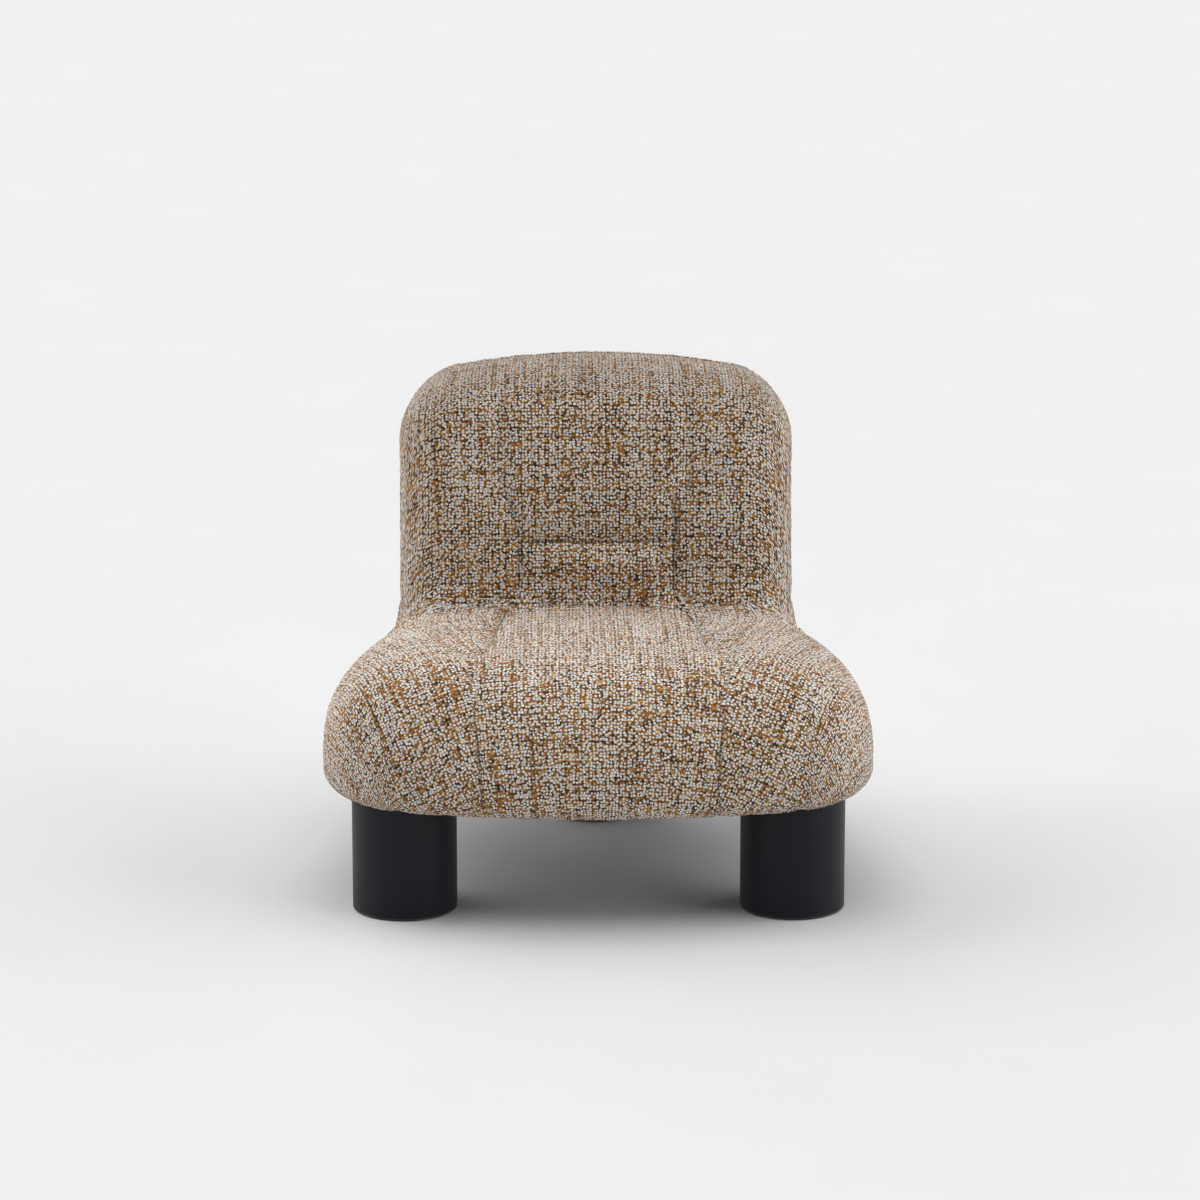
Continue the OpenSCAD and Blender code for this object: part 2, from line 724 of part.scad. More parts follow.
spigot_wall = 3;
module base_cap(c) {
    spigot_r = leg_d / 2 - leg_wall - fit;
    color("black")
        round_about(c)
            translate([0, 0, felt_t])
                difference() {
                    union() {
                        cylinder(h = cap_t, r = leg_d / 2);
                        cylinder(h = cap_t + spigot_h, r = spigot_r);
                    }
                    translate([0, 0, cap_t]) cylinder(h = spigot_h + over, r = spigot_r - spigot_wall);
                }
}
module base_cap_right() { base_cap(leg_centres[0]); }
module base_cap_left() { base_cap(leg_centres[1]); }
module base_cap_rear() { base_cap(leg_centres[2]); }

module felt_pad(c) {
    color("dimgray") round_about(c) cylinder(h = felt_t, r = felt_d / 2);
}
module felt_pad_right() { felt_pad(leg_centres[0]); }
module felt_pad_left() { felt_pad(leg_centres[1]); }
module felt_pad_rear() { felt_pad(leg_centres[2]); }

washer_t = 1.6;
washer_d = 2 * stud_d;
nut_h = stud_d - washer_t;
nut_across = 13 / 8 * stud_d;
thread_clearance = 0.1;
module leg_washers() {
    color("silver")
        for (c = leg_centres)
            round_about(c)
                at_studs()
                    translate([0, 0, leg_top_z - leg_disc_t - washer_t])
                        difference() {
                            cylinder(h = washer_t, r = washer_d / 2);
                            translate([0, 0, -over])
                                cylinder(h = washer_t + 2 * over, r = stud_d / 2 + thread_clearance);
                        }
}
module leg_nuts() {
    color("silver")
        for (c = leg_centres)
            round_about(c)
                at_studs()
                    translate([0, 0, leg_top_z - leg_disc_t - washer_t - nut_h])
                        difference() {
                            cylinder(h = nut_h, r = nut_across / 2 / cos(30), $fn = 6);
                            translate([0, 0, -over])
                                cylinder(h = nut_h + 2 * over, r = stud_d / 2 + thread_clearance);
                        }
}

cover_seat_centre();
cover_side_left();
cover_side_right();
cover_inside_back();
cover_outside_back();
dust_cover();
seat_foam();
back_foam();
front_rail();
rear_rail();
hoop_rail();
side_rail_left();
side_rail_right();
rail_plugs();
back_hoop();
hoop_brace();
hoop_gussets();
seat_webbing();
back_webbing();
mounting_plate_left();
mounting_plate_right();
mounting_plate_rear();
leg_left();
leg_right();
leg_rear();
base_cap_left();
base_cap_right();
base_cap_rear();
felt_pad_left();
felt_pad_right();
felt_pad_rear();
leg_washers();
leg_nuts();
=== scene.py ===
"""Low armchair: the tweed cover, foam, frame and legs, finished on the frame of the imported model."""
import json
import math

import bpy
import numpy as np
from mathutils.kdtree import KDTree
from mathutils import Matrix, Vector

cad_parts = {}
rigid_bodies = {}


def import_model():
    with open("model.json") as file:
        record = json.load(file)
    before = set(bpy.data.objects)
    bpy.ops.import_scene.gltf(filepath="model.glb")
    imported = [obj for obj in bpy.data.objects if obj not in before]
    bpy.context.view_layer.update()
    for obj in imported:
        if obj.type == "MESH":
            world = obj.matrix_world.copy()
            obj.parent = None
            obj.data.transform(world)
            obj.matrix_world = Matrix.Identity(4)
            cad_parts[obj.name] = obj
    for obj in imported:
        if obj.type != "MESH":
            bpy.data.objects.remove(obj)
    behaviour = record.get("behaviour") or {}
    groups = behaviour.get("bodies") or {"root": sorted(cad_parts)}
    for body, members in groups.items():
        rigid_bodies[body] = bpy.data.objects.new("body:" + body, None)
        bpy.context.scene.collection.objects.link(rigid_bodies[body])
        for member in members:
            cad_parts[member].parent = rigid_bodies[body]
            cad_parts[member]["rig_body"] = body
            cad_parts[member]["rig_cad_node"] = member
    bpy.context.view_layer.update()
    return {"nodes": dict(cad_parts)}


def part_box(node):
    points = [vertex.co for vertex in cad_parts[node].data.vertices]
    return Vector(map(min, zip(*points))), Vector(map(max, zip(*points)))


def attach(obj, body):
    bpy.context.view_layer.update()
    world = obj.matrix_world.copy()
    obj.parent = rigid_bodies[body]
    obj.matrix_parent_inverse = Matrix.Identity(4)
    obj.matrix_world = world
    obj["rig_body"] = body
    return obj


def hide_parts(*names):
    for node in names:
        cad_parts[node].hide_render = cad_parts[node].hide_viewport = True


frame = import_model()

# Upholstered body, in metres: the same values as the part's source
SEAT_HALF, BACK_HALF = 0.395, 0.295
FRONT, REAR = -0.364, 0.364
UNDERSIDE, TOP = 0.156, 0.707
WAIST = UNDERSIDE + 0.045
FRONT_RISE, CREASE_RISE = 0.196, 0.187
SEAT_CROWN, FRONT_BOW, FRONT_CORNER = 0.012, 0.066, 0.105
TOP_BOW, TOP_CORNER = 0.038, 0.092
BACK_DEPTH, BACK_ROUND, TOP_ROUND, UNDER_ROUND = 0.230, 0.070, 0.150, 0.058
SEAT_POWER, UNDER_POWER, BACK_POWER = 2.4, 2.4, 2.2
RECLINE, LEAN = math.radians(11.7), math.radians(1.4)
CREASE_RADIUS, SPINE_BEND, REAR_CORNER = 0.028, 0.130, 0.075
SPINE_BASE_SHARE, SPINE_TOP_SHARE = 0.235, 0.5
FRONT_REACH, TOP_REACH, EDGE_FADE = 0.9, 0.87, 1.3
NECK_START_SHARE, NECK_END_SHARE = 0.5, 0.4
PANEL_HALF, PANEL_DRAW, PANEL_DRAW_START = 0.186, 0.17, 0.6
LUMBAR_RUN, DART_RUN, UNDER_JOIN_SHARE = 0.093, 0.119, 0.75
COVER_THICK = 0.0022
LEG_RADIUS = 0.075
LEG_CENTRES = {"right": (-0.278, -0.229), "left": (0.278, -0.229), "rear": (0.0, 0.251)}

# Opening in the underside: place along the depth and half width of its front edge, and of its rear edge
OPENING = ((-0.2495, 0.330), (0.2715, 0.248))

# Webbing: the tubes that carry it, and the middles of its straps along the rails and up the posts
RAIL_X, RAIL_Z, SLEEVE, HOOP_Y, HOOP_RECLINE = 0.215, 0.1885, 0.0128, 0.211, math.radians(8)
STRAP_WIDTH, STRAP_THICK, STRAP_EDGE_POWER = 0.050, 0.0018, 0.25
SEAT_STRAPS, BACK_STRAPS = np.linspace(-0.1614, 0.1242, 5), np.linspace(0.140, 0.334, 4)

# Sewn end of a strap: the angle to which its loop runs round the tube, the tail's distance below the strap in
# thicknesses, and the tail's points, as a distance from the tube's middle and a dip
LOOP_END, TAIL_SPACING = 395, 1.04
TAIL = ((0.024, 0.0008), (0.034, 0), (0.062, 0))

# Grid of the cover: its spacing, its closer places beside a seam, and where its edge is looked for
CELL = 0.0095
SEAM_STEPS = np.array((-0.012, -0.0075, -0.004, -0.0018, 0.0, 0.0018, 0.004, 0.0075, 0.012))
EDGE_SEARCH, WIDTH_SEARCH = (-0.4, 0.02), (0, SEAT_HALF + 0.005)

# Cut in the underside: how far inside a leg's tube it lies, and the height below which the cover is cut
LEG_CLEAR, CUT_HEIGHT = 0.008, UNDERSIDE + 0.02

# Filling of the sewn cover as a cloth: its start inside the body, the most that it swells, how firmly it is
# held between the seams, the number of steps, and which points count as a seam or as the flat underside
START_INSET, SWELL_CAP, LOOSE_HOLD, SWELL_STEPS = 0.0005, 0.012, 0.12, 20
ON_SEAM, FLAT_UNDER = 0.001, UNDERSIDE + 0.002
COVER_CLOTH = {
    "quality": 5, "mass": 0.4, "tension_stiffness": 20, "compression_stiffness": 20, "shear_stiffness": 10,
    "bending_stiffness": 1.5, "shrink_min": -0.008, "shrink_max": -0.008, "use_pressure": True,
    "uniform_pressure_force": 6, "vertex_group_mass": "held",
}

# Seams: depth and width of the wide dip along each one, and of the sharp groove in it. The groove round the
# back fades in from where the seat's panels end, and the lower sheet has a share of the other depths
SIDE_DIP, SIDE_GROOVE = (0.0010, 0.010), (0.0016, 0.0022)
LUMBAR_DIP, LUMBAR_GROOVE = (0.0008, 0.010), (0.0022, 0.0018)
BACK_GROOVE, BACK_GROOVE_FADE, UNDER_SHALLOW = (0.0012, 0.0035), 0.05, 0.4

# Painted shade in the seams, from 0 to 1, and its half width. The side seams are darker beside the lumbar strip
SIDE_SHADE, STRIP_SHADE, SIDE_SHADE_WIDTH = 0.25, 0.5, 0.0012
LUMBAR_SHADE, BACK_SHADE = (0.8, 0.0010), (0.6, 0.0012)
STRIP_FADE_IN, STRIP_FADE_OUT = 0.05, 0.03

# Folds where the cover is drawn in: from and to places on the flat cover, depth and half width
FOLDS = (
    ((-0.170, 0.768), (-0.128, 0.764), 0.0035, 0.005),
    ((0.140, 0.761), (0.174, 0.764), 0.0035, 0.005),
    ((0.088, 0.822), (0.122, 0.764), 0.0050, 0.010),
    ((0.116, 0.785), (0.117, 0.722), 0.0080, 0.006),
    ((0.115, 0.762), (0.117, 0.806), 0.0080, 0.0055),
    ((0.118, 0.785), (0.138, 0.835), 0.0040, 0.008),
    ((-0.128, 0.790), (-0.120, 0.735), 0.0030, 0.008),
    ((-0.134, 0.695), (-0.076, 0.682), 0.0030, 0.006),
    ((-0.142, 0.610), (-0.084, 0.566), 0.0060, 0.012),
    ((-0.084, 0.566), (-0.026, 0.520), 0.0040, 0.012),
    ((0.030, 0.520), (0.100, 0.540), 0.0040, 0.012),
    ((0.136, 0.540), (0.139, 0.440), 0.0040, 0.007),
    ((0.146, 0.163), (0.176, 0.060), 0.0025, 0.007),
)

# Shares of a fold's depth at its ends and in its ridges, and how much wider than the fold its ridges are
FOLD_END_SHARE, RIDGE_SHARE, RIDGE_WIDTH = 0.35, 0.4, 2.3

# Fullness of the filling: the lumbar strip, the inner corner between seat and back, and the seat's front
# shoulder with its middle, its reach, and where it starts to fade outwards and rearwards
LUMBAR_FULLNESS, LUMBAR_HALF = 0.004, 0.125
CREASE_FILL, CREASE_REACH, CREASE_FADE = 0.009, 0.045, 0.05
SHOULDER_FILL, SHOULDER, SHOULDER_REACH, SHOULDER_FADE = 0.007, 0.085, 0.055, 0.04
SHOULDER_HALF, SHOULDER_HALF_FADE = 0.22, 0.10
SHOULDER_RUN, SHOULDER_RUN_FADE = 0.20, 0.08

# Tweed: size of its beads, and the turn of the side panels' grain about a place, rearwards of which it fades
BEAD = 0.0050
GRAIN_TURN, GRAIN_ABOUT, GRAIN_FADE = 0.3, (0.19, 0.30), 0.25

# Foam: size of its cut, its gap to the cover, and how near and how parallel to the cover an outer face is
FOAM_CELL, FOAM_GAP, FOAM_NEAR, FOAM_PARALLEL = 0.005, 0.0008, 0.016, 0.4

# Dust cloth: its thickness, slack and ripples, how far from a leg it hangs freely, and how high its cutter is
DUST_THICK, DUST_SLACK, DUST_RIPPLE, DUST_CLEAR, CUTTER_RISE = 0.0006, 0.0035, 0.0006, 0.10, 0.02

# Lamps: name, direction round the chair and above the floor in degrees, strength, and spread in degrees
LAMPS = (
    ("overhead", 0, 88, 1.60, 60),
    ("high_rear", 180, 65, 0.25, 90),
    ("right_side", 90, 5, 3.4, 90),
    ("left_side", -90, 5, 1.3, 90),
    ("left_rear", -130, 15, 3.0, 90),
    ("right_rear", 130, 15, 0.3, 90),
)
BACKDROP = 240

# Camera, fitted to the photograph: distance, height and turns, the picture's width in pixels, the lens and
# the shift in such pixels, and the width of the sensor in millimetres
CAMERA_AWAY, CAMERA_HEIGHT = 6.944, 2.182
CAMERA_DOWN, CAMERA_ASIDE = math.radians(14.44), math.radians(-0.52)
PICTURE, LENS, SHIFT, SENSOR = 1200, 4900, 2.8, 36


def smooth(t):
    """Runs smoothly from 0 at 0 to 1 at 1, and stays there beyond."""
    t = np.clip(t, 0, 1)
    return t * t * (3 - 2 * t)


class Bend:
    """Two straight runs in the side view, joined by an arc. A station from 0 to 3 is a place along them."""

    def __init__(self, start, corner, end, radius):
        self.start, corner, self.end, self.radius = np.array(start), np.array(corner), np.array(end), radius
        self.way = (corner - self.start) / np.hypot(*(corner - self.start))
        onward = (self.end - corner) / np.hypot(*(self.end - corner))
        self.turn = math.acos(self.way @ onward)
        reach = radius * math.tan(self.turn / 2)
        self.leave, self.join = corner - self.way * reach, corner + onward * reach
        self.up = np.array((-self.way[1], self.way[0]))
        first, last = np.hypot(*(self.leave - self.start)), np.hypot(*(self.end - self.join))
        self.runs = (first, radius * self.turn, last)

    def at(self, t):
        """Places in the side view at some stations."""
        t = t[..., None]
        angle = self.turn * (t - 1)
        first = self.start + (self.leave - self.start) * t
        arc = self.leave + self.radius * (self.up + self.way * np.sin(angle) - self.up * np.cos(angle))
        last = self.join + (self.end - self.join) * (t - 2)
        return np.where(t < 1, first, np.where(t < 2, arc, last))

    def length(self, t):
        """Length of the way from the start to some stations."""
        a, b, c = self.runs
        return np.where(t < 1, t * a, np.where(t < 2, a + (t - 1) * b, a + b + (t - 2) * c))


crease = np.array((REAR - BACK_DEPTH, UNDERSIDE + CREASE_RISE))
corner_shift = REAR_CORNER * math.tan((math.pi / 2 + LEAN) / 2) * math.sin(LEAN)
outer_corner = np.array((REAR + corner_shift, UNDERSIDE))
inner_top = np.array((crease[0] + (TOP - crease[1]) * math.tan(RECLINE), TOP))
outer_top = np.array((outer_corner[0] - (TOP - UNDERSIDE) * math.tan(LEAN), TOP))
spine_corner = np.array((crease[0] + (outer_corner[0] - crease[0]) * SPINE_BASE_SHARE, WAIST))
spine_top = np.array((inner_top[0] + (outer_top[0] - inner_top[0]) * SPINE_TOP_SHARE, TOP))
inner = Bend((FRONT, UNDERSIDE + FRONT_RISE), crease, inner_top, CREASE_RADIUS)
spine = Bend((FRONT, WAIST), spine_corner, spine_top, SPINE_BEND)
outer = Bend((FRONT, UNDERSIDE), outer_corner, outer_top, REAR_CORNER)

SEAT_RUN = spine.runs[0]
BEND_END = SEAT_RUN + spine.runs[1]
RUN = BEND_END + spine.runs[2]
LUMBAR = BEND_END + LUMBAR_RUN
DART = LUMBAR + DART_RUN
UNDER_JOIN = TOP_ROUND + (SEAT_RUN - TOP_ROUND) * UNDER_JOIN_SHARE
NECK_START, NECK_END = SEAT_RUN * NECK_START_SHARE, BEND_END + LUMBAR_RUN * NECK_END_SHARE
PANEL_SHARE = PANEL_HALF / SEAT_HALF


def station(s):
    """Stations on the spine at some distances along the flat cover."""
    on_bend, on_back = 1 + (s - SEAT_RUN) / spine.runs[1], 2 + (s - BEND_END) / spine.runs[2]
    return np.where(s < SEAT_RUN, s / SEAT_RUN, np.where(s < BEND_END, on_bend, on_back))


def neck(s):
    """0 over the seat, 1 on the back, and between them at the waist."""
    return smooth((s - NECK_START) / (NECK_END - NECK_START))


def inside(x, s):
    """How far a point of the flat cover lies inside its outline."""
    side = SEAT_HALF + (BACK_HALF - SEAT_HALF) * neck(s) - np.abs(x)

    def bowed(reach, bow, half):
        return (reach - bow * (x / half) ** 2) / np.hypot(1, 2 * bow * x / half**2)

    def cornered(a, b, radius):
        rounding = np.hypot(np.maximum(radius - a, 0), np.maximum(radius - b, 0))
        return np.maximum(radius, np.minimum(a, b)) - rounding

    front = cornered(bowed(s, FRONT_BOW, SEAT_HALF), side, FRONT_CORNER)
    top = cornered(bowed(RUN - s, TOP_BOW, BACK_HALF), side, TOP_CORNER)
    return np.where(s < RUN / 2, front, top)


def crossing(low, high, is_inside, halvings=40):
    """Where each of several lines leaves the outline, by halving the stretch between low and high."""
    for _ in range(halvings):
        middle = (low + high) / 2
        kept = is_inside(middle)
        low, high = np.where(kept, middle, low), np.where(kept, high, middle)
    return (low + high) / 2


def flat_grid(shares, rows):
    """Places of the grid on the flat cover: x across, s from the front edge to the top edge."""
    across = shares * FRONT_REACH * SEAT_HALF
    front = -crossing(*EDGE_SEARCH, lambda s: inside(across, -s) > 0)
    across = shares * TOP_REACH * BACK_HALF
    top = -crossing(*EDGE_SEARCH, lambda s: inside(across, RUN + s) > 0)
    fade_in = np.maximum(0, 1 - rows / SEAT_RUN) ** EDGE_FADE
    fade_out = np.maximum(0, (rows - DART) / (RUN - DART)) ** EDGE_FADE
    s = rows + np.outer(front, fade_in) - np.outer(top, fade_out)
    half = crossing(*WIDTH_SEARCH, lambda x: inside(x, s[-1]) > 0)
    half[0], half[-1] = FRONT_REACH * SEAT_HALF, TOP_REACH * BACK_HALF
    drawn_in = smooth((rows - PANEL_DRAW_START * TOP_ROUND) / TOP_ROUND)
    drawn_in = drawn_in * (1 - smooth((rows - LUMBAR) / DART_RUN))
    seam = PANEL_SHARE * (1 - PANEL_DRAW * drawn_in)
    a = np.abs(shares)[:, None]
    beyond = seam + (a - PANEL_SHARE) * (1 - seam) / (1 - PANEL_SHARE)
    return np.where(a < PANEL_SHARE, a * seam / PANEL_SHARE, beyond) * np.sign(shares)[:, None] * half, s


def sheet_form(lower, s):
    """Zone and power of the rounding and the line under the face, for the upper or the lower sheet."""
    n, t = neck(s), station(s)
    zone = UNDER_ROUND if lower else TOP_ROUND
    power = UNDER_POWER if lower else SEAT_POWER
    if lower:
        share = SEAT_RUN / outer.runs[0]
        line, t = outer, np.where(t < 1, t * (share + (1 - share) * t), t)
    else:
        line = inner
    return zone + (BACK_ROUND - zone) * n, power + (BACK_POWER - power) * n, line, t


def body_surface(shares, rows):
    """Both sheets of the body before any swelling, and three layers of the weave's places.

    The layers are the upper sheet, the lower one where the seat's panels fold under it, and the outside back.
    """
    x, s = flat_grid(shares, rows)
    depth = np.maximum(inside(x, s), 0)
    depth[0] = depth[-1] = depth[:, 0] = depth[:, -1] = 0
    middle, straight_out = spine.at(station(s)), outward(x, s)
    sheets, weaves, over_edge = [], [], 0
    for lower in (False, True):
        zone, power, line, t = sheet_form(lower, s)
        face = line.at(t)
        if not lower:
            face[..., 1] += np.where(t < 1, SEAT_CROWN * np.sin(np.pi * np.clip(t, 0, 1)), 0)
        across = 1 - np.minimum(depth, zone) / zone
        share = (1 - across**power) ** (1 / power)
        side_view = middle + (face - middle) * share[..., None]
        sheets.append(np.concatenate((x[..., None], side_view), -1))
        rise = np.hypot(*np.moveaxis(face - middle, -1, 0))
        cloth = rounding_length(across, power, zone, rise)
        whole = rounding_length(np.ones_like(across), power, zone, rise)
        if lower:
            folded = depth + over_edge + whole - cloth
            weaves.append(np.stack((x, s), -1) + straight_out * folded[..., None])
        else:
            over_edge = whole - zone
        along = line.length(t) if lower else s + (line.length(t) - s) * share
        weaves.append(np.stack((x, along), -1) + straight_out * (cloth - zone * across)[..., None])
    return np.array(sheets), np.array(weaves)


def rounding_length(across, power, zone, rise, steps=24):
    """Length of cloth from the flat of the face to a point on its rounded edge."""
    angle = np.arcsin(across ** (power / 2))
    length, before = 0, None
    for k in range(steps + 1):
        a = angle * k / steps
        here = np.sin(a) ** (2 / power) * zone, np.cos(a) ** (2 / power) * rise
        if before is not None:
            length = length + np.hypot(here[0] - before[0], here[1] - before[1])
        before = here
    return length


def outward(x, s, reach=0.0005):
    """Direction on the flat cover from a point straight out to the outline."""
    slope = np.stack((
        inside(x - reach, s) - inside(x + reach, s),
        inside(x, s - reach) - inside(x, s + reach),
    ), -1)
    return slope / np.maximum(np.linalg.norm(slope, axis=-1, keepdims=True), 1e-9)


def even(start, stop, step):
    """Places from start up to stop, without stop itself."""
    count = max(1, round((stop - start) / step))
    return start + (stop - start) * np.arange(count) / count


def closing(start, stop, step):
    """Places from start to stop that close up towards stop."""
    count = max(4, round((stop - start) * math.pi / 2 / step))
    return start + (stop - start) * np.sin(math.pi / 2 * np.arange(count + 1) / count)


def grid_shares():
    """Columns of the grid, as shares of the half width, with close ones along the side seams."""
    near, far = PANEL_SHARE + SEAM_STEPS[[0, -1]] / SEAT_HALF
    half = np.concatenate((
        even(0, near, CELL / SEAT_HALF),
        PANEL_SHARE + SEAM_STEPS[:-1] / SEAT_HALF,
        closing(far, 1, CELL / SEAT_HALF),
    ))
    return np.concatenate((-half[:0:-1], half))


def grid_rows():
    """Rows of the grid, with close ones at the front and top edges and along the lumbar seam."""
    opening = TOP_ROUND - closing(0, TOP_ROUND, CELL)[::-1]
    near, far = LUMBAR + SEAM_STEPS[[0, -1]]
    return np.concatenate((
        opening[:-1],
        even(TOP_ROUND, UNDER_JOIN, CELL),
        even(UNDER_JOIN, near, CELL),
        LUMBAR + SEAM_STEPS[:-1],
        even(far, DART, CELL),
        even(DART, RUN - BACK_ROUND, CELL),
        closing(RUN - BACK_ROUND, RUN, CELL),
    ))


def halved(places):
    """The same places with one more between each two."""
    fine = np.empty(len(places) * 2 - 1)
    fine[::2], fine[1::2] = places, (places[1:] + places[:-1]) / 2
    return fine


def halved_field(field, axis):
    """A field on the grid carried smoothly to the places between its points, along one axis."""
    f = np.moveaxis(field, axis, 0)
    fine = np.empty((len(f) * 2 - 1,) + f.shape[1:])
    fine[::2] = f
    fine[1::2] = (f[1:] + f[:-1]) / 2
    fine[3:-3:2] = (9 * (f[1:-2] + f[2:-1]) - f[:-3] - f[3:]) / 16
    return np.moveaxis(fine, 0, axis)


def share_outline(field):
    """Gives the lower sheet the upper one's values along the outline, where the two sheets meet."""
    for edge in (0, -1):
        field[1, edge], field[1, :, edge] = field[0, edge], field[0, :, edge]
    return field


def grid_faces(columns, rows):
    """Numbers of the grid points [sheet, column, row], and faces between them [sheet, column, row, corner].

    The two sheets share the points of the outline, and their faces are turned outwards.
    """
    numbers = share_outline(np.arange(2 * columns * rows).reshape(2, columns, rows))
    a, b, c, d = numbers[:, :-1, :-1], numbers[:, 1:, :-1], numbers[:, 1:, 1:], numbers[:, :-1, 1:]
    faces = np.stack((a, b, c, d), -1)
    faces[1] = faces[1][..., ::-1]
    return numbers, faces


def point_normals(points, faces):
    """Outward normal at each point of the two sheets; points is an array [sheet, column, row, axis]."""
    flat = points.reshape(-1, 3)
    corners = faces.reshape(-1, 4)
    normal = np.cross(flat[corners[:, 2]] - flat[corners[:, 0]], flat[corners[:, 3]] - flat[corners[:, 1]])
    total = np.zeros_like(flat)
    for k in range(4):
        np.add.at(total, corners[:, k], normal)
    total /= np.maximum(np.linalg.norm(total, axis=1, keepdims=True), 1e-12)
    return share_outline(total.reshape(points.shape))


def mesh_piece(name, points, faces, weave=None, seam=None):
    """An object of the points that the faces use, with the weave's places as its UV map and painted seam shade.
    """
    used, faces = np.unique(faces, return_inverse=True)
    faces = faces.reshape(-1, 4)
    mesh = bpy.data.meshes.new(name)
    mesh.from_pydata(points[used].tolist(), [], faces.tolist())
    if weave is not None:
        uv = mesh.uv_layers.new(name="weave")
        uv.data.foreach_set("uv", weave[used][faces.reshape(-1)].astype(np.float32).reshape(-1))
    # The seam attribute holds painted shade, which darkens the tweed's colour along the seams
    if seam is not None:
        painted_shade = mesh.attributes.new(name="seam", type="FLOAT", domain="POINT")
        painted_shade.data.foreach_set("value", seam[used].astype(np.float32))
    mesh.polygons.foreach_set("use_smooth", [True] * len(mesh.polygons))
    mesh.update()
    piece = bpy.data.objects.new(name, mesh)
    bpy.context.scene.collection.objects.link(piece)
    return piece


def vertex_values(piece, field):
    """The places or the normals of a piece's points, as rows of three."""
    values = np.empty(len(piece.data.vertices) * 3)
    piece.data.vertices.foreach_get(field, values)
    return values.reshape(-1, 3)


def take_up(piece):
    """Select one piece alone."""
    bpy.ops.object.select_all(action="DESELECT")
    piece.select_set(True)
    bpy.context.view_layer.objects.active = piece


def fill_with_pressure(cover):
    """Swells a closed cover as a cloth without weight, and makes the swelling its shape."""
    take_up(cover)
    bpy.ops.object.modifier_add(type="CLOTH")
    cloth = cover.modifiers[-1]
    for name, value in COVER_CLOTH.items():
        setattr(cloth.settings, name, value)
    cloth.settings.effector_weights.gravity = 0
    cloth.collision_settings.use_collision = False
    for step in range(1, SWELL_STEPS + 1):
        bpy.context.scene.frame_set(step)
    bpy.ops.object.modifier_apply(modifier=cloth.name)
    bpy.context.scene.frame_set(1)


def swollen(points, numbers, faces, held):
    """How far each point of the body moves when the cover is filled, and is held fast at its seams."""
    start = (points - point_normals(points, faces) * START_INSET).reshape(-1, 3)
    used = np.unique(numbers)
    cover = mesh_piece("cover_being_filled", start, faces)
    hold = cover.vertex_groups.new(name=COVER_CLOTH["vertex_group_mass"])
    for weight, where in ((LOOSE_HOLD, np.ones_like(held)), (1.0, held)):
        hold.add(np.searchsorted(used, np.unique(numbers[where])).tolist(), weight, "REPLACE")
    fill_with_pressure(cover)
    move = np.zeros_like(start)
    move[used] = vertex_values(cover, "co") - points.reshape(-1, 3)[used]
    bpy.data.objects.remove(cover)
    size = np.linalg.norm(move, axis=1, keepdims=True)
    move *= SWELL_CAP * np.tanh(size / SWELL_CAP) / np.maximum(size, 1e-9)
    return move[numbers.reshape(-1)].reshape(points.shape)


def seam_distance(shares, rows):
    """Distance of both sheets' points from the side seams, and of the upper sheet's from the lumbar seam."""
    x, _ = flat_grid(shares, rows)
    half = np.abs(x[-1])
    side = np.abs(np.abs(shares) - PANEL_SHARE)[:, None] * half
    sides = np.array([np.hypot(side, np.maximum(rows - end, 0)) for end in (DART, UNDER_JOIN)])
    past = np.maximum(np.abs(shares) - PANEL_SHARE, 0)[:, None] * half
    return sides, np.hypot(rows - LUMBAR, past)


def edge_distance(points):
    """Distance of each point from the seam round the back, where the two sheets meet."""
    ends = (points[:, :1], points[:, -1:], points[:, :, -1:])
    return np.min([np.linalg.norm(points - end, axis=-1) for end in ends], axis=0)


def panels(shares, rows):
    """Which cells of the grid belong to each panel of the cover, on the upper and the lower sheet."""
    share, row = (shares[1:] + shares[:-1])[:, None] / 2, (rows[1:] + rows[:-1])[None, :] / 2
    centre = np.abs(share) < PANEL_SHARE
    upper_back = np.where(centre, row > LUMBAR, row > DART)
    lower_back = np.broadcast_to(row > UNDER_JOIN, upper_back.shape)
    seat, none = np.array((~upper_back, ~lower_back)), np.zeros_like(upper_back)
    return {
        "cover_seat_centre": seat & centre,
        "cover_side_left": seat & (share > 0) & ~centre,
        "cover_side_right": seat & (share < 0) & ~centre,
        "cover_inside_back": np.array((upper_back, none)),
        "cover_outside_back": np.array((none, lower_back)),
    }


def shell_faces(faces, cells, layer):
    """Faces of a closed shell over some cells of the grid: outer skin, inner skin and the edge between."""
    skin = faces[cells]
    starts, ends = skin.reshape(-1), np.roll(skin, -1, axis=1).reshape(-1)
    key, back = starts * (2 * layer) + ends, ends * (2 * layer) + starts
    rim = ~np.isin(key, back)
    a, b = starts[rim], ends[rim]
    edge = np.stack((b, a, a + layer, b + layer), -1)
    return np.concatenate((skin, skin[:, ::-1] + layer, edge))


def in_leg(points):
    """Grid points of the cover that lie well inside a leg's tube."""
    x, y, _ = np.moveaxis(points, -1, 0)
    return np.any([np.hypot(x - a, y - b) < LEG_RADIUS - LEG_CLEAR for a, b in LEG_CENTRES.values()], axis=0)


def in_opening(points):
    """Grid points over the opening in the underside, where the dust cover closes it."""
    (y0, half0), (y1, half1) = OPENING
    x, y, _ = np.moveaxis(points, -1, 0)
    half = half0 + (half1 - half0) * (y - y0) / (y1 - y0)
    return (np.abs(x) < half) & (y > y0) & (y < y1)


def cut_cells(points):
    """Cells of the grid that the cover leaves out under the seat: inside the legs and over the opening."""
    gone = (in_leg(points) | in_opening(points)) & (points[..., 2] < CUT_HEIGHT)
    return gone[:, :-1, :-1] & gone[:, 1:, :-1] & gone[:, 1:, 1:] & gone[:, :-1, 1:]


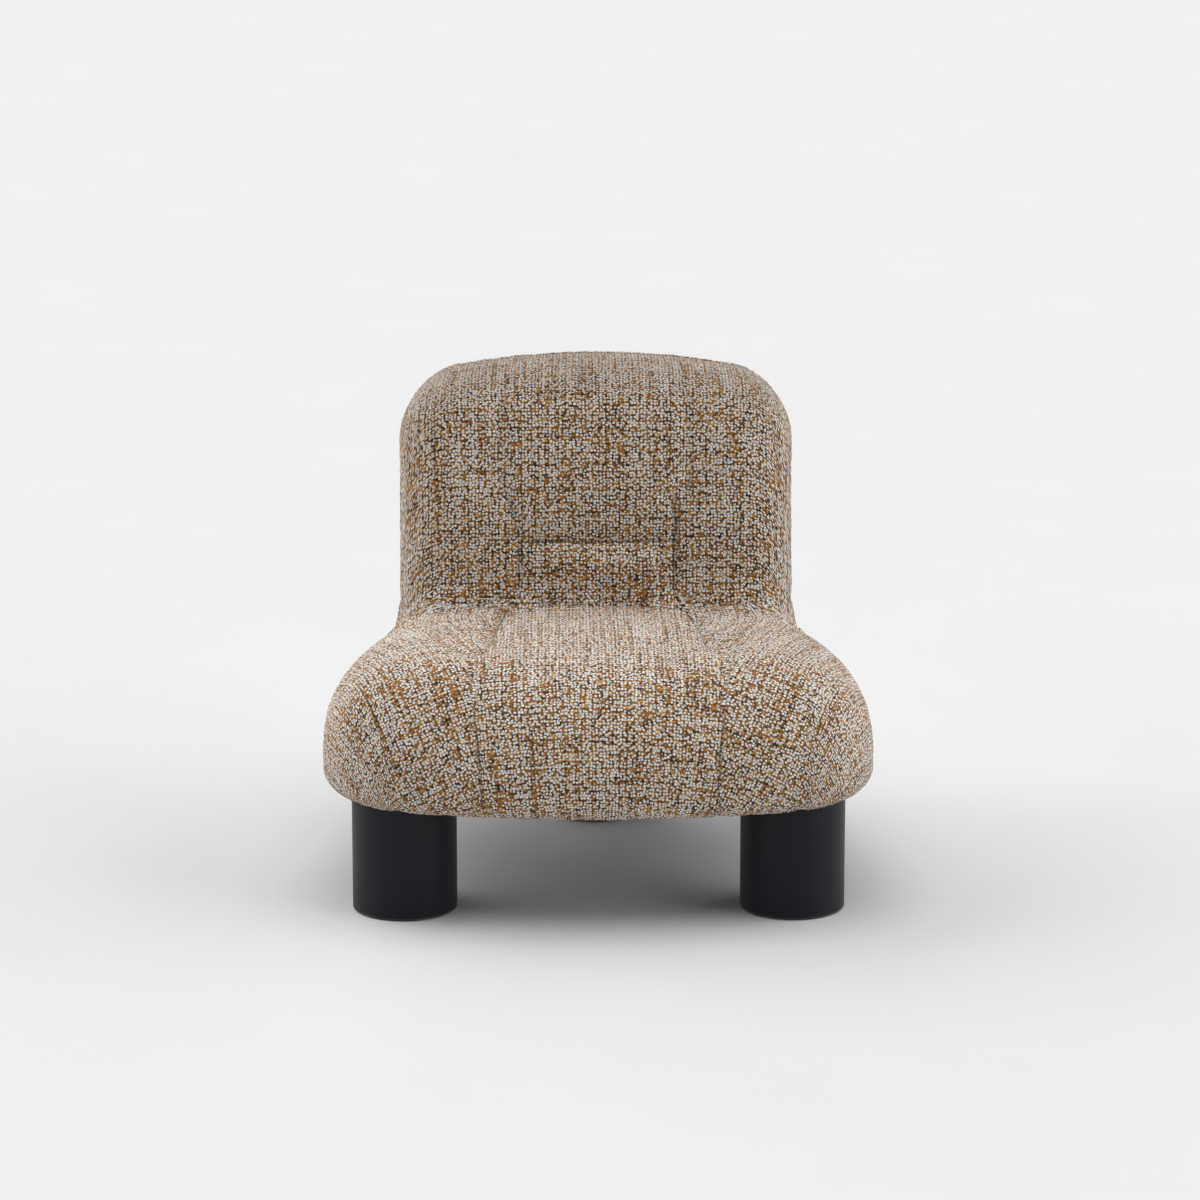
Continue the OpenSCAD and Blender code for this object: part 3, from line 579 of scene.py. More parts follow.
def rounded(away, height, width):
    """A rounded bump at a distance from its middle."""
    return height * np.exp(-((away / width) ** 2))


def sharp(away, height, width):
    """A sharp ridge at a distance from its line."""
    return height * np.exp(-away / width)


def folds(x, s):
    """Depth of the folds at a place on the flat cover, each with a low ridge on both sides."""
    depth = 0
    for start, end, deep, wide in FOLDS:
        way = np.subtract(end, start)
        along = np.clip(((x - start[0]) * way[0] + (s - start[1]) * way[1]) / (way @ way), 0, 1)
        off = np.hypot(x - start[0] - along * way[0], s - start[1] - along * way[1]) / wide
        ends = FOLD_END_SHARE + (1 - FOLD_END_SHARE) * np.sin(np.pi * along)
        depth = depth + deep * ends * (rounded(off, 1, 1) - rounded(off, RIDGE_SHARE, RIDGE_WIDTH))
    return depth


def fullness(x, s):
    """How far the filling lifts the cover: lumbar strip, inner corner and the seat's front shoulder."""
    deep = inside(x, s)
    on_strip = np.clip((s - BEND_END) / LUMBAR_RUN, 0, 1)
    strip = np.clip(1 - (x / LUMBAR_HALF) ** 2, 0, 1) * np.sin(np.pi * on_strip)
    away = np.abs(inner.length(station(s)) - inner.runs[0] - inner.runs[1] / 2)
    corner = np.cos(math.pi / 2 * np.clip(away / CREASE_REACH, 0, 1)) ** 2 * smooth(deep / CREASE_FADE)
    shoulder = rounded(deep - SHOULDER, 1, SHOULDER_REACH)
    shoulder = shoulder * (1 - smooth((np.abs(x) - SHOULDER_HALF) / SHOULDER_HALF_FADE))
    shoulder = shoulder * (1 - smooth((s - SHOULDER_RUN) / SHOULDER_RUN_FADE)) * smooth(deep / SHOULDER_FADE)
    return LUMBAR_FULLNESS * strip + CREASE_FILL * corner + SHOULDER_FILL * shoulder


def hollows(sides, lumbar, edge, x, s):
    """How far the cover is drawn in at its seams and folds, less where the filling lifts it."""
    deep = rounded(sides, *SIDE_DIP) + sharp(sides, *SIDE_GROOVE)
    deep[0] += rounded(lumbar, *LUMBAR_DIP) + sharp(lumbar, *LUMBAR_GROOVE)
    deep[0] += folds(x, s) - fullness(x, s)
    deep[1] *= UNDER_SHALLOW
    deep += smooth((s - UNDER_JOIN) / BACK_GROOVE_FADE) * sharp(edge, *BACK_GROOVE)
    return deep


def painted_seam_shade(sides, lumbar, edge, s):
    """Painted shade along the seams, from 0 to 1: how far the cover's colour is darkened there."""
    beside_strip = smooth((s - BEND_END) / STRIP_FADE_IN + 1) * (1 - smooth((s - LUMBAR) / STRIP_FADE_OUT))
    painted_shade = rounded(sides, SIDE_SHADE + STRIP_SHADE * beside_strip, SIDE_SHADE_WIDTH)
    painted_shade[0] = np.maximum(painted_shade[0], rounded(lumbar, *LUMBAR_SHADE))
    height, width = BACK_SHADE
    round_back = smooth((s - UNDER_JOIN) / BACK_GROOVE_FADE)
    return np.maximum(painted_shade, rounded(edge, height * round_back, width))


def bobbles(weave, pitch=0.0052, height=0.0005, count=256, seed=11):
    """Small lumps of the chunky yarn, the same at the same place of the cloth."""
    lumps = np.random.default_rng(seed).uniform(-1, 1, (count, count))
    place = weave / pitch
    cell = np.floor(place).astype(int)
    u, v = np.moveaxis(smooth(place - cell), -1, 0)
    i, j = cell[..., 0] % count, cell[..., 1] % count
    k, m = (i + 1) % count, (j + 1) % count
    low = lumps[i, j] * (1 - u) + lumps[k, j] * u
    high = lumps[i, m] * (1 - u) + lumps[k, m] * u
    return share_outline(height * (low * (1 - v) + high * v))


class Value:
    """A number that varies over a surface. Python's arithmetic on it adds Math nodes."""

    def __init__(self, finish, socket):
        self.finish, self.socket = finish, socket

    def maths(self, operation, *values):
        sockets = dict(enumerate(values))
        return Value(self.finish, self.finish.node("Math", {"operation": operation}, sockets).outputs[0])

    def __add__(self, other):
        return self.maths("ADD", self, other)

    def __sub__(self, other):
        return self.maths("SUBTRACT", self, other)

    def __rsub__(self, other):
        return self.maths("SUBTRACT", other, self)

    def __mul__(self, other):
        return self.maths("MULTIPLY", self, other)

    def __truediv__(self, other):
        return self.maths("DIVIDE", self, other)

    def __rtruediv__(self, other):
        return self.maths("DIVIDE", other, self)

    def __pow__(self, other):
        return self.maths("POWER", self, other)

    def __rpow__(self, other):
        return self.maths("POWER", other, self)

    def above(self, other):
        return self.maths("GREATER_THAN", self, other)

    def most(self, other):
        return self.maths("MAXIMUM", self, other)

    def within(self, low, high):
        """Runs smoothly from 0 at low to 1 at high."""
        sockets = {"Value": self, "From Min": low, "From Max": high}
        made = self.finish.node("MapRange", {"interpolation_type": "SMOOTHSTEP"}, sockets)
        return Value(self.finish, made.outputs[0])

    __radd__, __rmul__ = __add__, __mul__


class Finish:
    """A material, and the nodes that give it its colour and relief."""

    def __init__(self, name, **constants):
        self.material = bpy.data.materials.new(name)
        self.material.use_nodes = True
        self.tree = self.material.node_tree
        self.shader = self.tree.nodes["Principled BSDF"]
        for socket, value in constants.items():
            self.shader.inputs[socket.replace("_", " ")].default_value = value

    def node(self, kind, settings=None, sockets=None):
        """One node: its settings are made first, then its sockets get their values or links."""
        made = self.tree.nodes.new("ShaderNode" + kind)
        for name, value in (settings or {}).items():
            if name == "stops":
                while len(made.color_ramp.elements) < len(value):
                    made.color_ramp.elements.new(1)
                for stop, (place, colour) in zip(made.color_ramp.elements, value):
                    stop.position, stop.color = place, (*colour, 1)
            elif name == "between":
                made.color_ramp.interpolation = value
            else:
                setattr(made, name, value)
        for name, value in (sockets or {}).items():
            self.feed(made.inputs[name], value)
        return made

    def feed(self, socket, value):
        """Links a socket to a value that varies, or sets it to a plain one."""
        if isinstance(value, Value):
            value = value.socket
        if isinstance(value, bpy.types.NodeSocket):
            self.tree.links.new(value, socket)
        else:
            socket.default_value = value

    def weave_place(self):
        """The piece's UV map, in metres along the cloth."""
        return self.node("UVMap", {"uv_map": "weave"}).outputs[0]

    def place(self):
        """The surface's place in the chair's own frame."""
        return self.node("TexCoord").outputs["Object"]

    def scaled(self, place, scale, shift=(0, 0, 0)):
        """A place scaled along each way, and shifted."""
        return self.node("Mapping", None, {"Vector": place, "Location": shift, "Scale": scale}).outputs[0]

    def shaken(self, place, scale, amount):
        """A place moved about a little, so that a pattern isn't ruled."""
        wobble = self.node("TexNoise", None, {"Vector": place, "Scale": scale, "Detail": 1.0})
        centred = self.moved("SUBTRACT", {0: wobble.outputs["Color"], 1: (0.5, 0.5, 0.5)})
        return self.moved("ADD", {0: place, 1: self.moved("SCALE", {0: centred, "Scale": amount})})

    def moved(self, operation, sockets):
        """A place or direction worked out from others."""
        return self.node("VectorMath", {"operation": operation}, sockets).outputs[0]

    def noise(self, place, scale, detail=2.0, rough=0.5):
        """An uneven, cloudy value."""
        sockets = {"Vector": place, "Scale": scale, "Detail": detail, "Roughness": rough}
        return Value(self, self.node("TexNoise", None, sockets).outputs[0])

    def bands(self, place, way, scale):
        """Even bands across one way, drawn a little unevenly."""
        settings = {"wave_type": "BANDS", "bands_direction": way}
        made = self.node("TexWave", settings, {"Vector": place, "Scale": scale, "Distortion": 0.4})
        return Value(self, made.outputs["Fac"])

    def cells(self, place, scale, randomness=1.0, feature="F1", flat=False):
        """A node of cells with random middles."""
        settings = {"feature": feature, "voronoi_dimensions": "2D" if flat else "3D"}
        return self.node("TexVoronoi", settings, {"Vector": place, "Scale": scale, "Randomness": randomness})

    def distance(self, cells):
        """Distance from the cells' middles, or from their borders."""
        return Value(self, cells.outputs["Distance"])

    def chances(self, cells):
        """Three random values for each cell."""
        parts = self.node("SeparateColor", None, {0: cells.outputs["Color"]})
        return [Value(self, parts.outputs[k]) for k in range(3)]

    def mixed(self, factor, first, second):
        """First colour where the factor is 0, second where it is 1."""
        first, second = ((*colour, 1) if isinstance(colour, tuple) else colour for colour in (first, second))
        return self.node("Mix", {"data_type": "RGBA"}, {0: factor, 6: first, 7: second}).outputs[2]

    def shades(self, value, stops, between="LINEAR"):
        """The colour that the stops give to a value."""
        return self.node("ValToRGB", {"stops": stops, "between": between}, {0: value}).outputs[0]

    def paint(self, **sockets):
        """Feeds the shader's own sockets."""
        for name, value in sockets.items():
            self.feed(self.shader.inputs[name.replace("_", " ")], value)

    def relief(self, height, depth, strength=1.0):
        """Raises the surface by height times depth, in metres."""
        bump = self.node("Bump", None, {"Height": height, "Distance": depth, "Strength": strength})
        self.feed(self.shader.inputs["Normal"], bump.outputs[0])


def linear(*shades):
    """A colour given as 0 to 255 on a screen, as the shader takes it."""
    parts = [painted_shade / 255 for painted_shade in shades]
    return tuple(part / 12.92 if part <= 0.04045 else ((part + 0.055) / 1.055) ** 2.4 for part in parts)


def wool_beads(f, place, drift):
    """Pale beads of the weave, some of them dyed: where they show, their colour and their domed height."""
    bead_place = f.scaled(place, (1 / BEAD, 1.08 / BEAD, 1))
    beads = f.cells(bead_place, 1, 0.7, flat=True)
    kind, size, tone = f.chances(beads)
    far, border = f.distance(beads), f.distance(f.cells(bead_place, 1, 0.7, "DISTANCE_TO_EDGE", flat=True))
    reach = size * 0.12 + drift * 0.26 + 0.34
    shown = far.within(reach + 0.05, reach - 0.08) * border.within(0.02, 0.09)
    wool = f.mixed(tone, linear(231, 229, 224), linear(255, 255, 252))
    dyed = f.mixed(tone, linear(164, 106, 34), linear(214, 164, 100))
    colour = f.mixed((kind * 0.6 + drift * 0.9).above(0.06), dyed, wool)
    dome = (1 - (far / (reach + 0.1)) ** 2).most(0) ** 0.5
    return shown, colour, dome


def dyed_yarns(f, place, drift):
    """Brown and ochre yarns under the beads: their colour, with painted shade in the gaps, and how round they
    stand.
    """
    yarns = f.cells(f.scaled(place, (0.95 / BEAD, 1.25 / BEAD, 1), (0.37, 0.61, 0)), 1, 0.9, flat=True)
    dye = f.shades(f.chances(yarns)[0] + drift * 0.5, (
        (0.0, linear(60, 43, 32)), (0.08, linear(108, 76, 44)),
        (0.34, linear(158, 106, 42)), (0.82, linear(200, 154, 90)),
    ), "CONSTANT")
    roundness = f.distance(yarns).within(0.85, 0.35)
    # Painted shade: the colour goes to a dark brown in the gaps between the yarns
    return f.mixed(roundness, linear(60, 44, 30), dye), roundness


def tweed():
    """Chunky woven tweed: pale wool beads over brown and ochre yarns, with faint ribs and streaks."""
    f = Finish("chunky_tweed", Roughness=0.92, Sheen_Weight=0.15, Sheen_Roughness=0.5, Specular_IOR_Level=0.2)
    cloth = f.weave_place()
    ribs, streaks = f.noise(f.scaled(cloth, (9, 170, 1)), 1), f.noise(f.scaled(cloth, (160, 5, 1)), 1)
    drift = (ribs - 0.5) * 1.1 + (streaks - 0.5) * 1.2
    loose = f.shaken(cloth, 160, 0.0022)
    bead, bead_colour, dome = wool_beads(f, loose, drift)
    yarn_colour, roundness = dyed_yarns(f, loose, drift)
    # Painted shade: the seam attribute darkens the colour towards a near black brown along the seams
    seam = Value(f, f.node("Attribute", {"attribute_name": "seam"}).outputs["Fac"])
    f.paint(Base_Color=f.mixed(seam * 0.85, f.mixed(bead, yarn_colour, bead_colour), linear(26, 20, 18)))
    fibre = f.noise(cloth, 1300)
    f.relief(dome * bead + roundness * 0.3 + fibre * 0.15, 0.0024)
    return f.material


def powder_coat():
    """Matt black paint, baked on, with a fine even grain."""
    f = Finish("matt_black_paint", Specular_IOR_Level=0.22)
    here = f.place()
    grain, cloud = f.noise(here, 1500), f.noise(here, 9, 3)
    black = f.shades(cloud, ((0.3, linear(6, 9, 17)), (0.7, linear(9, 12, 21))))
    f.paint(Base_Color=black, Roughness=cloud * 0.12 + 0.42)
    f.relief(grain, 0.00006, 0.5)
    return f.material


def moulded_plastic(name, colour, rough):
    """Moulded plastic with a fine spark-eroded grain."""
    f = Finish(name)
    here = f.place()
    grain, cloud = f.noise(here, 2200), f.noise(here, 14)
    paler = tuple(part * 1.6 for part in colour)
    f.paint(Base_Color=f.mixed(cloud * 0.25, colour, paler), Roughness=grain * 0.2 + rough)
    f.relief(grain, 0.00004, 0.6)
    return f.material


def felt():
    """Pressed felt of short dark grey fibres."""
    f = Finish("pressed_felt", Roughness=0.98, Sheen_Weight=0.2)
    fibres = f.noise(f.shaken(f.place(), 300, 0.002), 1800, 4, 0.7)
    f.paint(Base_Color=f.shades(fibres, ((0.3, linear(38, 37, 36)), (0.7, linear(74, 72, 70)))))
    f.relief(fibres, 0.0003)
    return f.material


def bare_steel():
    """Tube and plate steel with a thin grey primer and darker mill marks."""
    f = Finish("primed_steel", Metallic=0.55)
    here = f.place()
    marks, grain = f.noise(here, 24, 5, 0.65), f.noise(here, 900)
    grey = f.shades(marks, ((0.3, linear(92, 94, 96)), (0.7, linear(138, 140, 142))))
    f.paint(Base_Color=grey, Roughness=marks * 0.3 + 0.3)
    f.relief(grain, 0.00004, 0.5)
    return f.material


def zinc():
    """Bright zinc plating with small spangles."""
    f = Finish("bright_zinc", Metallic=1.0)
    spangle = f.distance(f.cells(f.place(), 420))
    bright = f.shades(spangle, ((0.0, linear(176, 178, 176)), (1.0, linear(204, 205, 200))))
    f.paint(Base_Color=bright, Roughness=spangle * 0.2 + 0.25)
    return f.material


def foam():
    """Cut foam with open cells."""
    f = Finish("open_cell_foam", Roughness=0.95, Subsurface_Weight=0.1)
    pores = f.distance(f.cells(f.place(), 620)).within(0.15, 0.6)
    f.paint(Base_Color=f.mixed(pores, linear(206, 186, 132), linear(238, 224, 180)))
    f.relief(pores, 0.0006)
    return f.material


def ribbed_web():
    """Elastic strap with cross ribs and wider lines along it."""
    f = Finish("elastic_webbing", Roughness=0.85)
    place = f.weave_place()
    ribs, lines = f.bands(place, "X", 150.0), f.bands(place, "Y", 32.0)
    greys = ((0.0, linear(30, 30, 32)), (1.0, linear(104, 102, 98)))
    f.paint(Base_Color=f.shades(ribs * 0.5 + lines * 0.5, greys))
    f.relief(ribs + lines * 0.3, 0.0005)
    return f.material


def dust_cloth():
    """Thin spun-bonded black cloth with a pressed dot pattern."""
    f = Finish("spunbond_cloth", Roughness=0.9)
    here = f.place()
    dots = f.distance(f.cells(here, 330, 0.1)).within(0.2, 0.5)
    fuzz = f.noise(here, 1200, 3)
    f.paint(Base_Color=f.shades(fuzz, ((0.3, linear(20, 20, 21)), (0.75, linear(44, 44, 46)))))
    f.relief(dots + fuzz * 0.4, 0.0003)
    return f.material


def dress_node(name, material):
    """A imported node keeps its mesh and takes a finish."""
    mesh = frame["nodes"][name].data
    if not mesh.materials:
        mesh.materials.append(material)
    for k in range(len(mesh.materials)):
        mesh.materials[k] = material


def finish_piece(piece, slot, material, *nodes):
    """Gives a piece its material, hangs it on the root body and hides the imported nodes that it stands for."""
    piece.data.materials.append(material)
    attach(piece, "root")
    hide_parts(*nodes)


def turned_weave(weave, s, name):
    """The cloth's grain: straight on the centre and the back, turned outwards on the seat's side panels."""
    side = {"cover_side_left": 1, "cover_side_right": -1}.get(name, 0)
    turn = side * GRAIN_TURN * (1 - smooth((s - GRAIN_ABOUT[1]) / GRAIN_FADE))
    about = np.array((math.copysign(GRAIN_ABOUT[0], side), GRAIN_ABOUT[1]))
    u, v = np.moveaxis(weave - about, -1, 0)
    return np.stack((u * np.cos(turn) - v * np.sin(turn), u * np.sin(turn) + v * np.cos(turn)), -1) + about


def filling_move(shares, rows):
    """How far the filling moves each grid point. Seams, outline and flat underside are held."""
    points, _ = body_surface(shares, rows)
    sides, lumbar = seam_distance(shares, rows)
    held = sides < ON_SEAM
    held[0] |= lumbar < ON_SEAM
    held[1] |= points[1, ..., 2] < FLAT_UNDER
    held[:, 0] = held[:, -1] = held[:, :, 0] = held[:, :, -1] = True
    return swollen(points, *grid_faces(len(shares), len(rows)), held)


def sew_cover():
    """The tweed cover, filled and sewn, as a closed shell for each panel. Returns its inside and normals."""
    shares, rows = grid_shares(), grid_rows()
    move = filling_move(shares, rows)
    shares, rows = halved(shares), halved(rows)
    points, weaves = body_surface(shares, rows)
    points += halved_field(halved_field(move, 1), 2)
    _, faces = grid_faces(len(shares), len(rows))
    x, s = flat_grid(shares, rows)
    seams = (*seam_distance(shares, rows), edge_distance(points))
    skin = points - point_normals(points, faces) * (hollows(*seams, x, s) - bobbles(weaves[:2]))[..., None]
    normals = point_normals(skin, faces)
    lining = skin - normals * COVER_THICK
    both = np.concatenate((skin.reshape(-1, 3), lining.reshape(-1, 3)))
    # Painted shade along the seams, carried by each piece as its seam attribute
    painted_shade = np.tile(painted_seam_shade(*seams, s).reshape(-1), 2)
    cut, cloth = cut_cells(points), tweed()
    for name, cells in panels(shares, rows).items():
        weave = weaves[[2, 2]] if name == "cover_outside_back" else weaves[:2]
        grain = np.tile(turned_weave(weave, s, name).reshape(-1, 2), (2, 1))
        shell = shell_faces(faces, cells & ~cut, len(both) // 2)
        piece = mesh_piece(name.replace("cover", "tweed"), both, shell, grain, painted_shade)
        finish_piece(piece, "woven_cover", cloth, name)
    return lining.reshape(-1, 3), normals.reshape(-1, 3)


def copy_of(node, name, merged=0.00002):
    """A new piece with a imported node's form, its loose triangles merged."""
    piece = frame["nodes"][node].copy()
    piece.data = piece.data.copy()
    piece.name = name
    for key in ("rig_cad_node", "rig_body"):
        del piece[key]
    bpy.context.scene.collection.objects.link(piece)
    take_up(piece)
    bpy.ops.object.mode_set(mode="EDIT")
    bpy.ops.mesh.select_all(action="SELECT")
    bpy.ops.mesh.remove_doubles(threshold=merged)
    bpy.ops.mesh.normals_make_consistent(inside=False)
    bpy.ops.object.mode_set(mode="OBJECT")
    piece.data.materials.clear()
    return piece


def apply_modifier(piece, kind, **settings):
    """Adds a modifier to a piece and makes its result the piece's mesh."""
    take_up(piece)
    bpy.ops.object.modifier_add(type=kind)
    modifier = piece.modifiers[-1]
    for name, value in settings.items():
        setattr(modifier, name, value)
    bpy.ops.object.modifier_apply(modifier=modifier.name)


def press_out(block, inside_cover, lining, normals):
    """Brings a block's outer faces to the inside of the cover, and draws in what would come through it."""
    place, facing = vertex_values(block, "co"), vertex_values(block, "normal")
    near = np.array([inside_cover.find(point)[1] for point in place])
    height = ((place - lining[near]) * normals[near]).sum(1)
    away = np.linalg.norm(place - lining[near], axis=1)
    outer_face = ((facing * normals[near]).sum(1) > FOAM_PARALLEL) & (away < FOAM_NEAR)
    pressed = outer_face | (height > -FOAM_GAP)
    place -= normals[near] * np.where(pressed, height + FOAM_GAP, 0)[:, None]
    block.data.vertices.foreach_set("co", place.reshape(-1))
    block.data.update()


def fill_foam(lining, normals):
    """Foam blocks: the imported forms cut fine, and filling the cover up to its inside."""
    stuffing = foam()
    inside_cover = KDTree(len(lining))
    for k, point in enumerate(lining):
        inside_cover.insert(point, k)
    inside_cover.balance()
    for name in ("seat_foam", "back_foam"):
        block = copy_of(name, name.replace("_foam", "_foam_block"))
        apply_modifier(block, "REMESH", mode="VOXEL", voxel_size=FOAM_CELL)
        press_out(block, inside_cover, lining, normals)
        bpy.ops.object.shade_smooth_by_angle(angle=math.radians(40))
        finish_piece(block, "foam", stuffing, name)


def strap_line(loop_steps=28, run_steps=40):
    """Middle line of a strap across a pair of tubes: a tail and a loop at each end, and the run between."""
    middle = SLEEVE + STRAP_THICK / 2
    angle = np.radians(np.linspace(90, LOOP_END, loop_steps))
    loop = np.stack((-RAIL_X + middle * np.cos(angle), middle * np.sin(angle)), -1)
    under = middle - STRAP_THICK * TAIL_SPACING
    tail = np.array([(-RAIL_X + place, under - dip) for place, dip in TAIL])
    left = np.concatenate((tail[::-1], loop[::-1]))
    run = np.stack((np.linspace(-RAIL_X, RAIL_X, run_steps)[1:-1], np.full(run_steps - 2, middle)), -1)
    return np.concatenate((left, run, left[::-1] * (-1, 1)))


def sewn_strap(edge_steps=9):
    """One strap, sewn back under itself at each end: its points [along, around] and the weave's places."""
    line = strap_line()
    step = np.gradient(line, axis=0)
    up = np.stack((-step[:, 1], step[:, 0]), -1) / np.hypot(*step.T)[:, None]
    along = np.concatenate(((0,), np.cumsum(np.hypot(*np.diff(line, axis=0).T))))
    turn = np.linspace(-math.pi / 2, math.pi / 2, edge_steps)
    half, thin = STRAP_WIDTH / 2, STRAP_THICK / 2
    upper = np.stack((half * np.sin(turn), thin * np.cos(turn) ** STRAP_EDGE_POWER), -1)
    around = np.concatenate((upper, upper[-2:0:-1] * (1, -1)))
    points = np.empty((len(line), len(around), 3))
    points[..., 0] = line[:, None, 0] + up[:, None, 0] * around[:, 1]
    points[..., 1] = around[:, 0]
    points[..., 2] = line[:, None, 1] + up[:, None, 1] * around[:, 1]
    weave = np.stack(np.broadcast_arrays(along[:, None], around[:, 0]), -1)
    return points, weave


def strap_faces(count, around):
    """Faces of one strap: its skin, and the cut ends."""
    k = np.arange(count * around).reshape(count, around)
    after = np.roll(k, -1, axis=1)
    skin = np.stack((k[:-1], after[:-1], after[1:], k[1:]), -1).reshape(-1, 4)
    half = around // 2
    top, under = np.arange(half), -np.arange(half) % around
    first, last = (
        np.stack((row[top], row[under], row[(under - 1) % around], row[top + 1]), -1) for row in (k[0], k[-1])
    )
    return np.concatenate((skin, first, last[:, ::-1]))


def weave_straps():
    """Elastic webbing across the seat rails and across the back's posts."""
    cloth = ribbed_web()
    points, weave = sewn_strap()
    faces = strap_faces(*points.shape[:2])
    x, y, z = np.moveaxis(points, -1, 0)
    lean, upright = math.sin(HOOP_RECLINE), math.cos(HOOP_RECLINE)
    seat = [(x, y + middle, z + RAIL_Z) for middle in SEAT_STRAPS]
    back = [
        (x, HOOP_Y + (middle - y) * lean - z * upright, RAIL_Z + (middle - y) * upright + z * lean)
        for middle in BACK_STRAPS
    ]
    for name, straps in (("seat", seat), ("back", back)):
        places = np.concatenate([np.stack(strap, -1).reshape(-1, 3) for strap in straps])
        every = np.concatenate([faces + x.size * k for k in range(len(straps))])
        piece = mesh_piece(name + "_straps", places, every, np.tile(weave.reshape(-1, 2), (len(straps), 1)))
        finish_piece(piece, "webbing", cloth, name + "_webbing")


def press_felt_pads():
    """Felt discs with rounded edges under the legs."""
    cloth = felt()
    for side, (x, y) in LEG_CENTRES.items():
        low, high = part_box("felt_pad_" + side)
        middle = (x, y, (low.z + high.z) / 2)
        bpy.ops.object.select_all(action="DESELECT")
        bpy.ops.mesh.primitive_cylinder_add(
            vertices=96, radius=(high.x - low.x) / 2, depth=high.z - low.z, location=middle
        )
        pad = bpy.context.active_object
        pad.name = "felt_disc_" + side
        bpy.ops.object.transform_apply()
        apply_modifier(pad, "BEVEL", width=0.0006, segments=3, angle_limit=math.radians(60))
        bpy.ops.object.shade_smooth_by_angle(angle=math.radians(50))
        finish_piece(pad, "felt", cloth, "felt_pad_" + side)


def slack(x, y, low, wide, long):
    """How far the dust cloth hangs at a place: most in its middle, and not at its edges or round the legs."""
    share = (1 - (2 * x / wide) ** 2) * (1 - ((y - low.y) / long * 2 - 1) ** 2)
    clear = min(math.hypot(x - a, y - b) for a, b in LEG_CENTRES.values()) - LEG_RADIUS
    ripple = DUST_RIPPLE * math.sin(x * 95 + 2 * math.sin(y * 31)) * math.sin(y * 70)
    return (DUST_SLACK + ripple) * max(share, 0) * float(smooth(clear / DUST_CLEAR))


def stretch_dust_cover():
    """Black cloth stapled under the seat, a little slack between its edges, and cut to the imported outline."""
    low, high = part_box("dust_cover")
    wide, long = high.x - low.x, high.y - low.y
    outline = copy_of("dust_cover", "dust_cover_outline")
    for v in outline.data.vertices:
        v.co.z += math.copysign(CUTTER_RISE, v.co.z - (low.z + high.z) / 2)
    middle = (0, (low.y + high.y) / 2, high.z)
    bpy.ops.object.select_all(action="DESELECT")
    bpy.ops.mesh.primitive_grid_add(x_subdivisions=90, y_subdivisions=72, size=1, location=middle)
    cloth = bpy.context.active_object
    cloth.name = "dust_cloth"
    cloth.scale = (wide + 0.01, long + 0.01, 1)
    bpy.ops.object.transform_apply()
    for v in cloth.data.vertices:
        v.co.z -= slack(v.co.x, v.co.y, low, wide, long)
    apply_modifier(cloth, "SOLIDIFY", thickness=DUST_THICK, offset=-1)
    apply_modifier(cloth, "BOOLEAN", operation="INTERSECT", solver="EXACT", object=outline)
    bpy.data.objects.remove(outline)
    bpy.ops.object.shade_smooth_by_angle(angle=math.radians(40))
    finish_piece(cloth, "dust_cloth", dust_cloth(), "dust_cover")


def set_floor():
    """A wide pale floor without gloss."""
    bpy.ops.object.select_all(action="DESELECT")
    bpy.ops.mesh.primitive_plane_add(size=80, location=(0, 0, 0))
    floor = bpy.context.active_object
    floor.name = "floor"
    f = Finish("studio_floor", Roughness=1.0, Specular_IOR_Level=0.0)
    pale = ((0.3, linear(215, 215, 215)), (0.7, linear(217, 217, 217)))
    f.paint(Base_Color=f.shades(f.noise(f.place(), 3), pale))
    floor.data.materials.append(f.material)


def set_lights():
    """Soft light from above, from both sides and from the rear."""
    for name, azimuth, elevation, strength, spread in LAMPS:
        bpy.ops.object.light_add(type="SUN", location=(0, 0, 3))
        lamp = bpy.context.active_object
        lamp.name = name
        lamp.data.energy, lamp.data.angle = strength, math.radians(spread)
        lamp.rotation_euler = (math.radians(90 - elevation), 0, math.radians(azimuth))


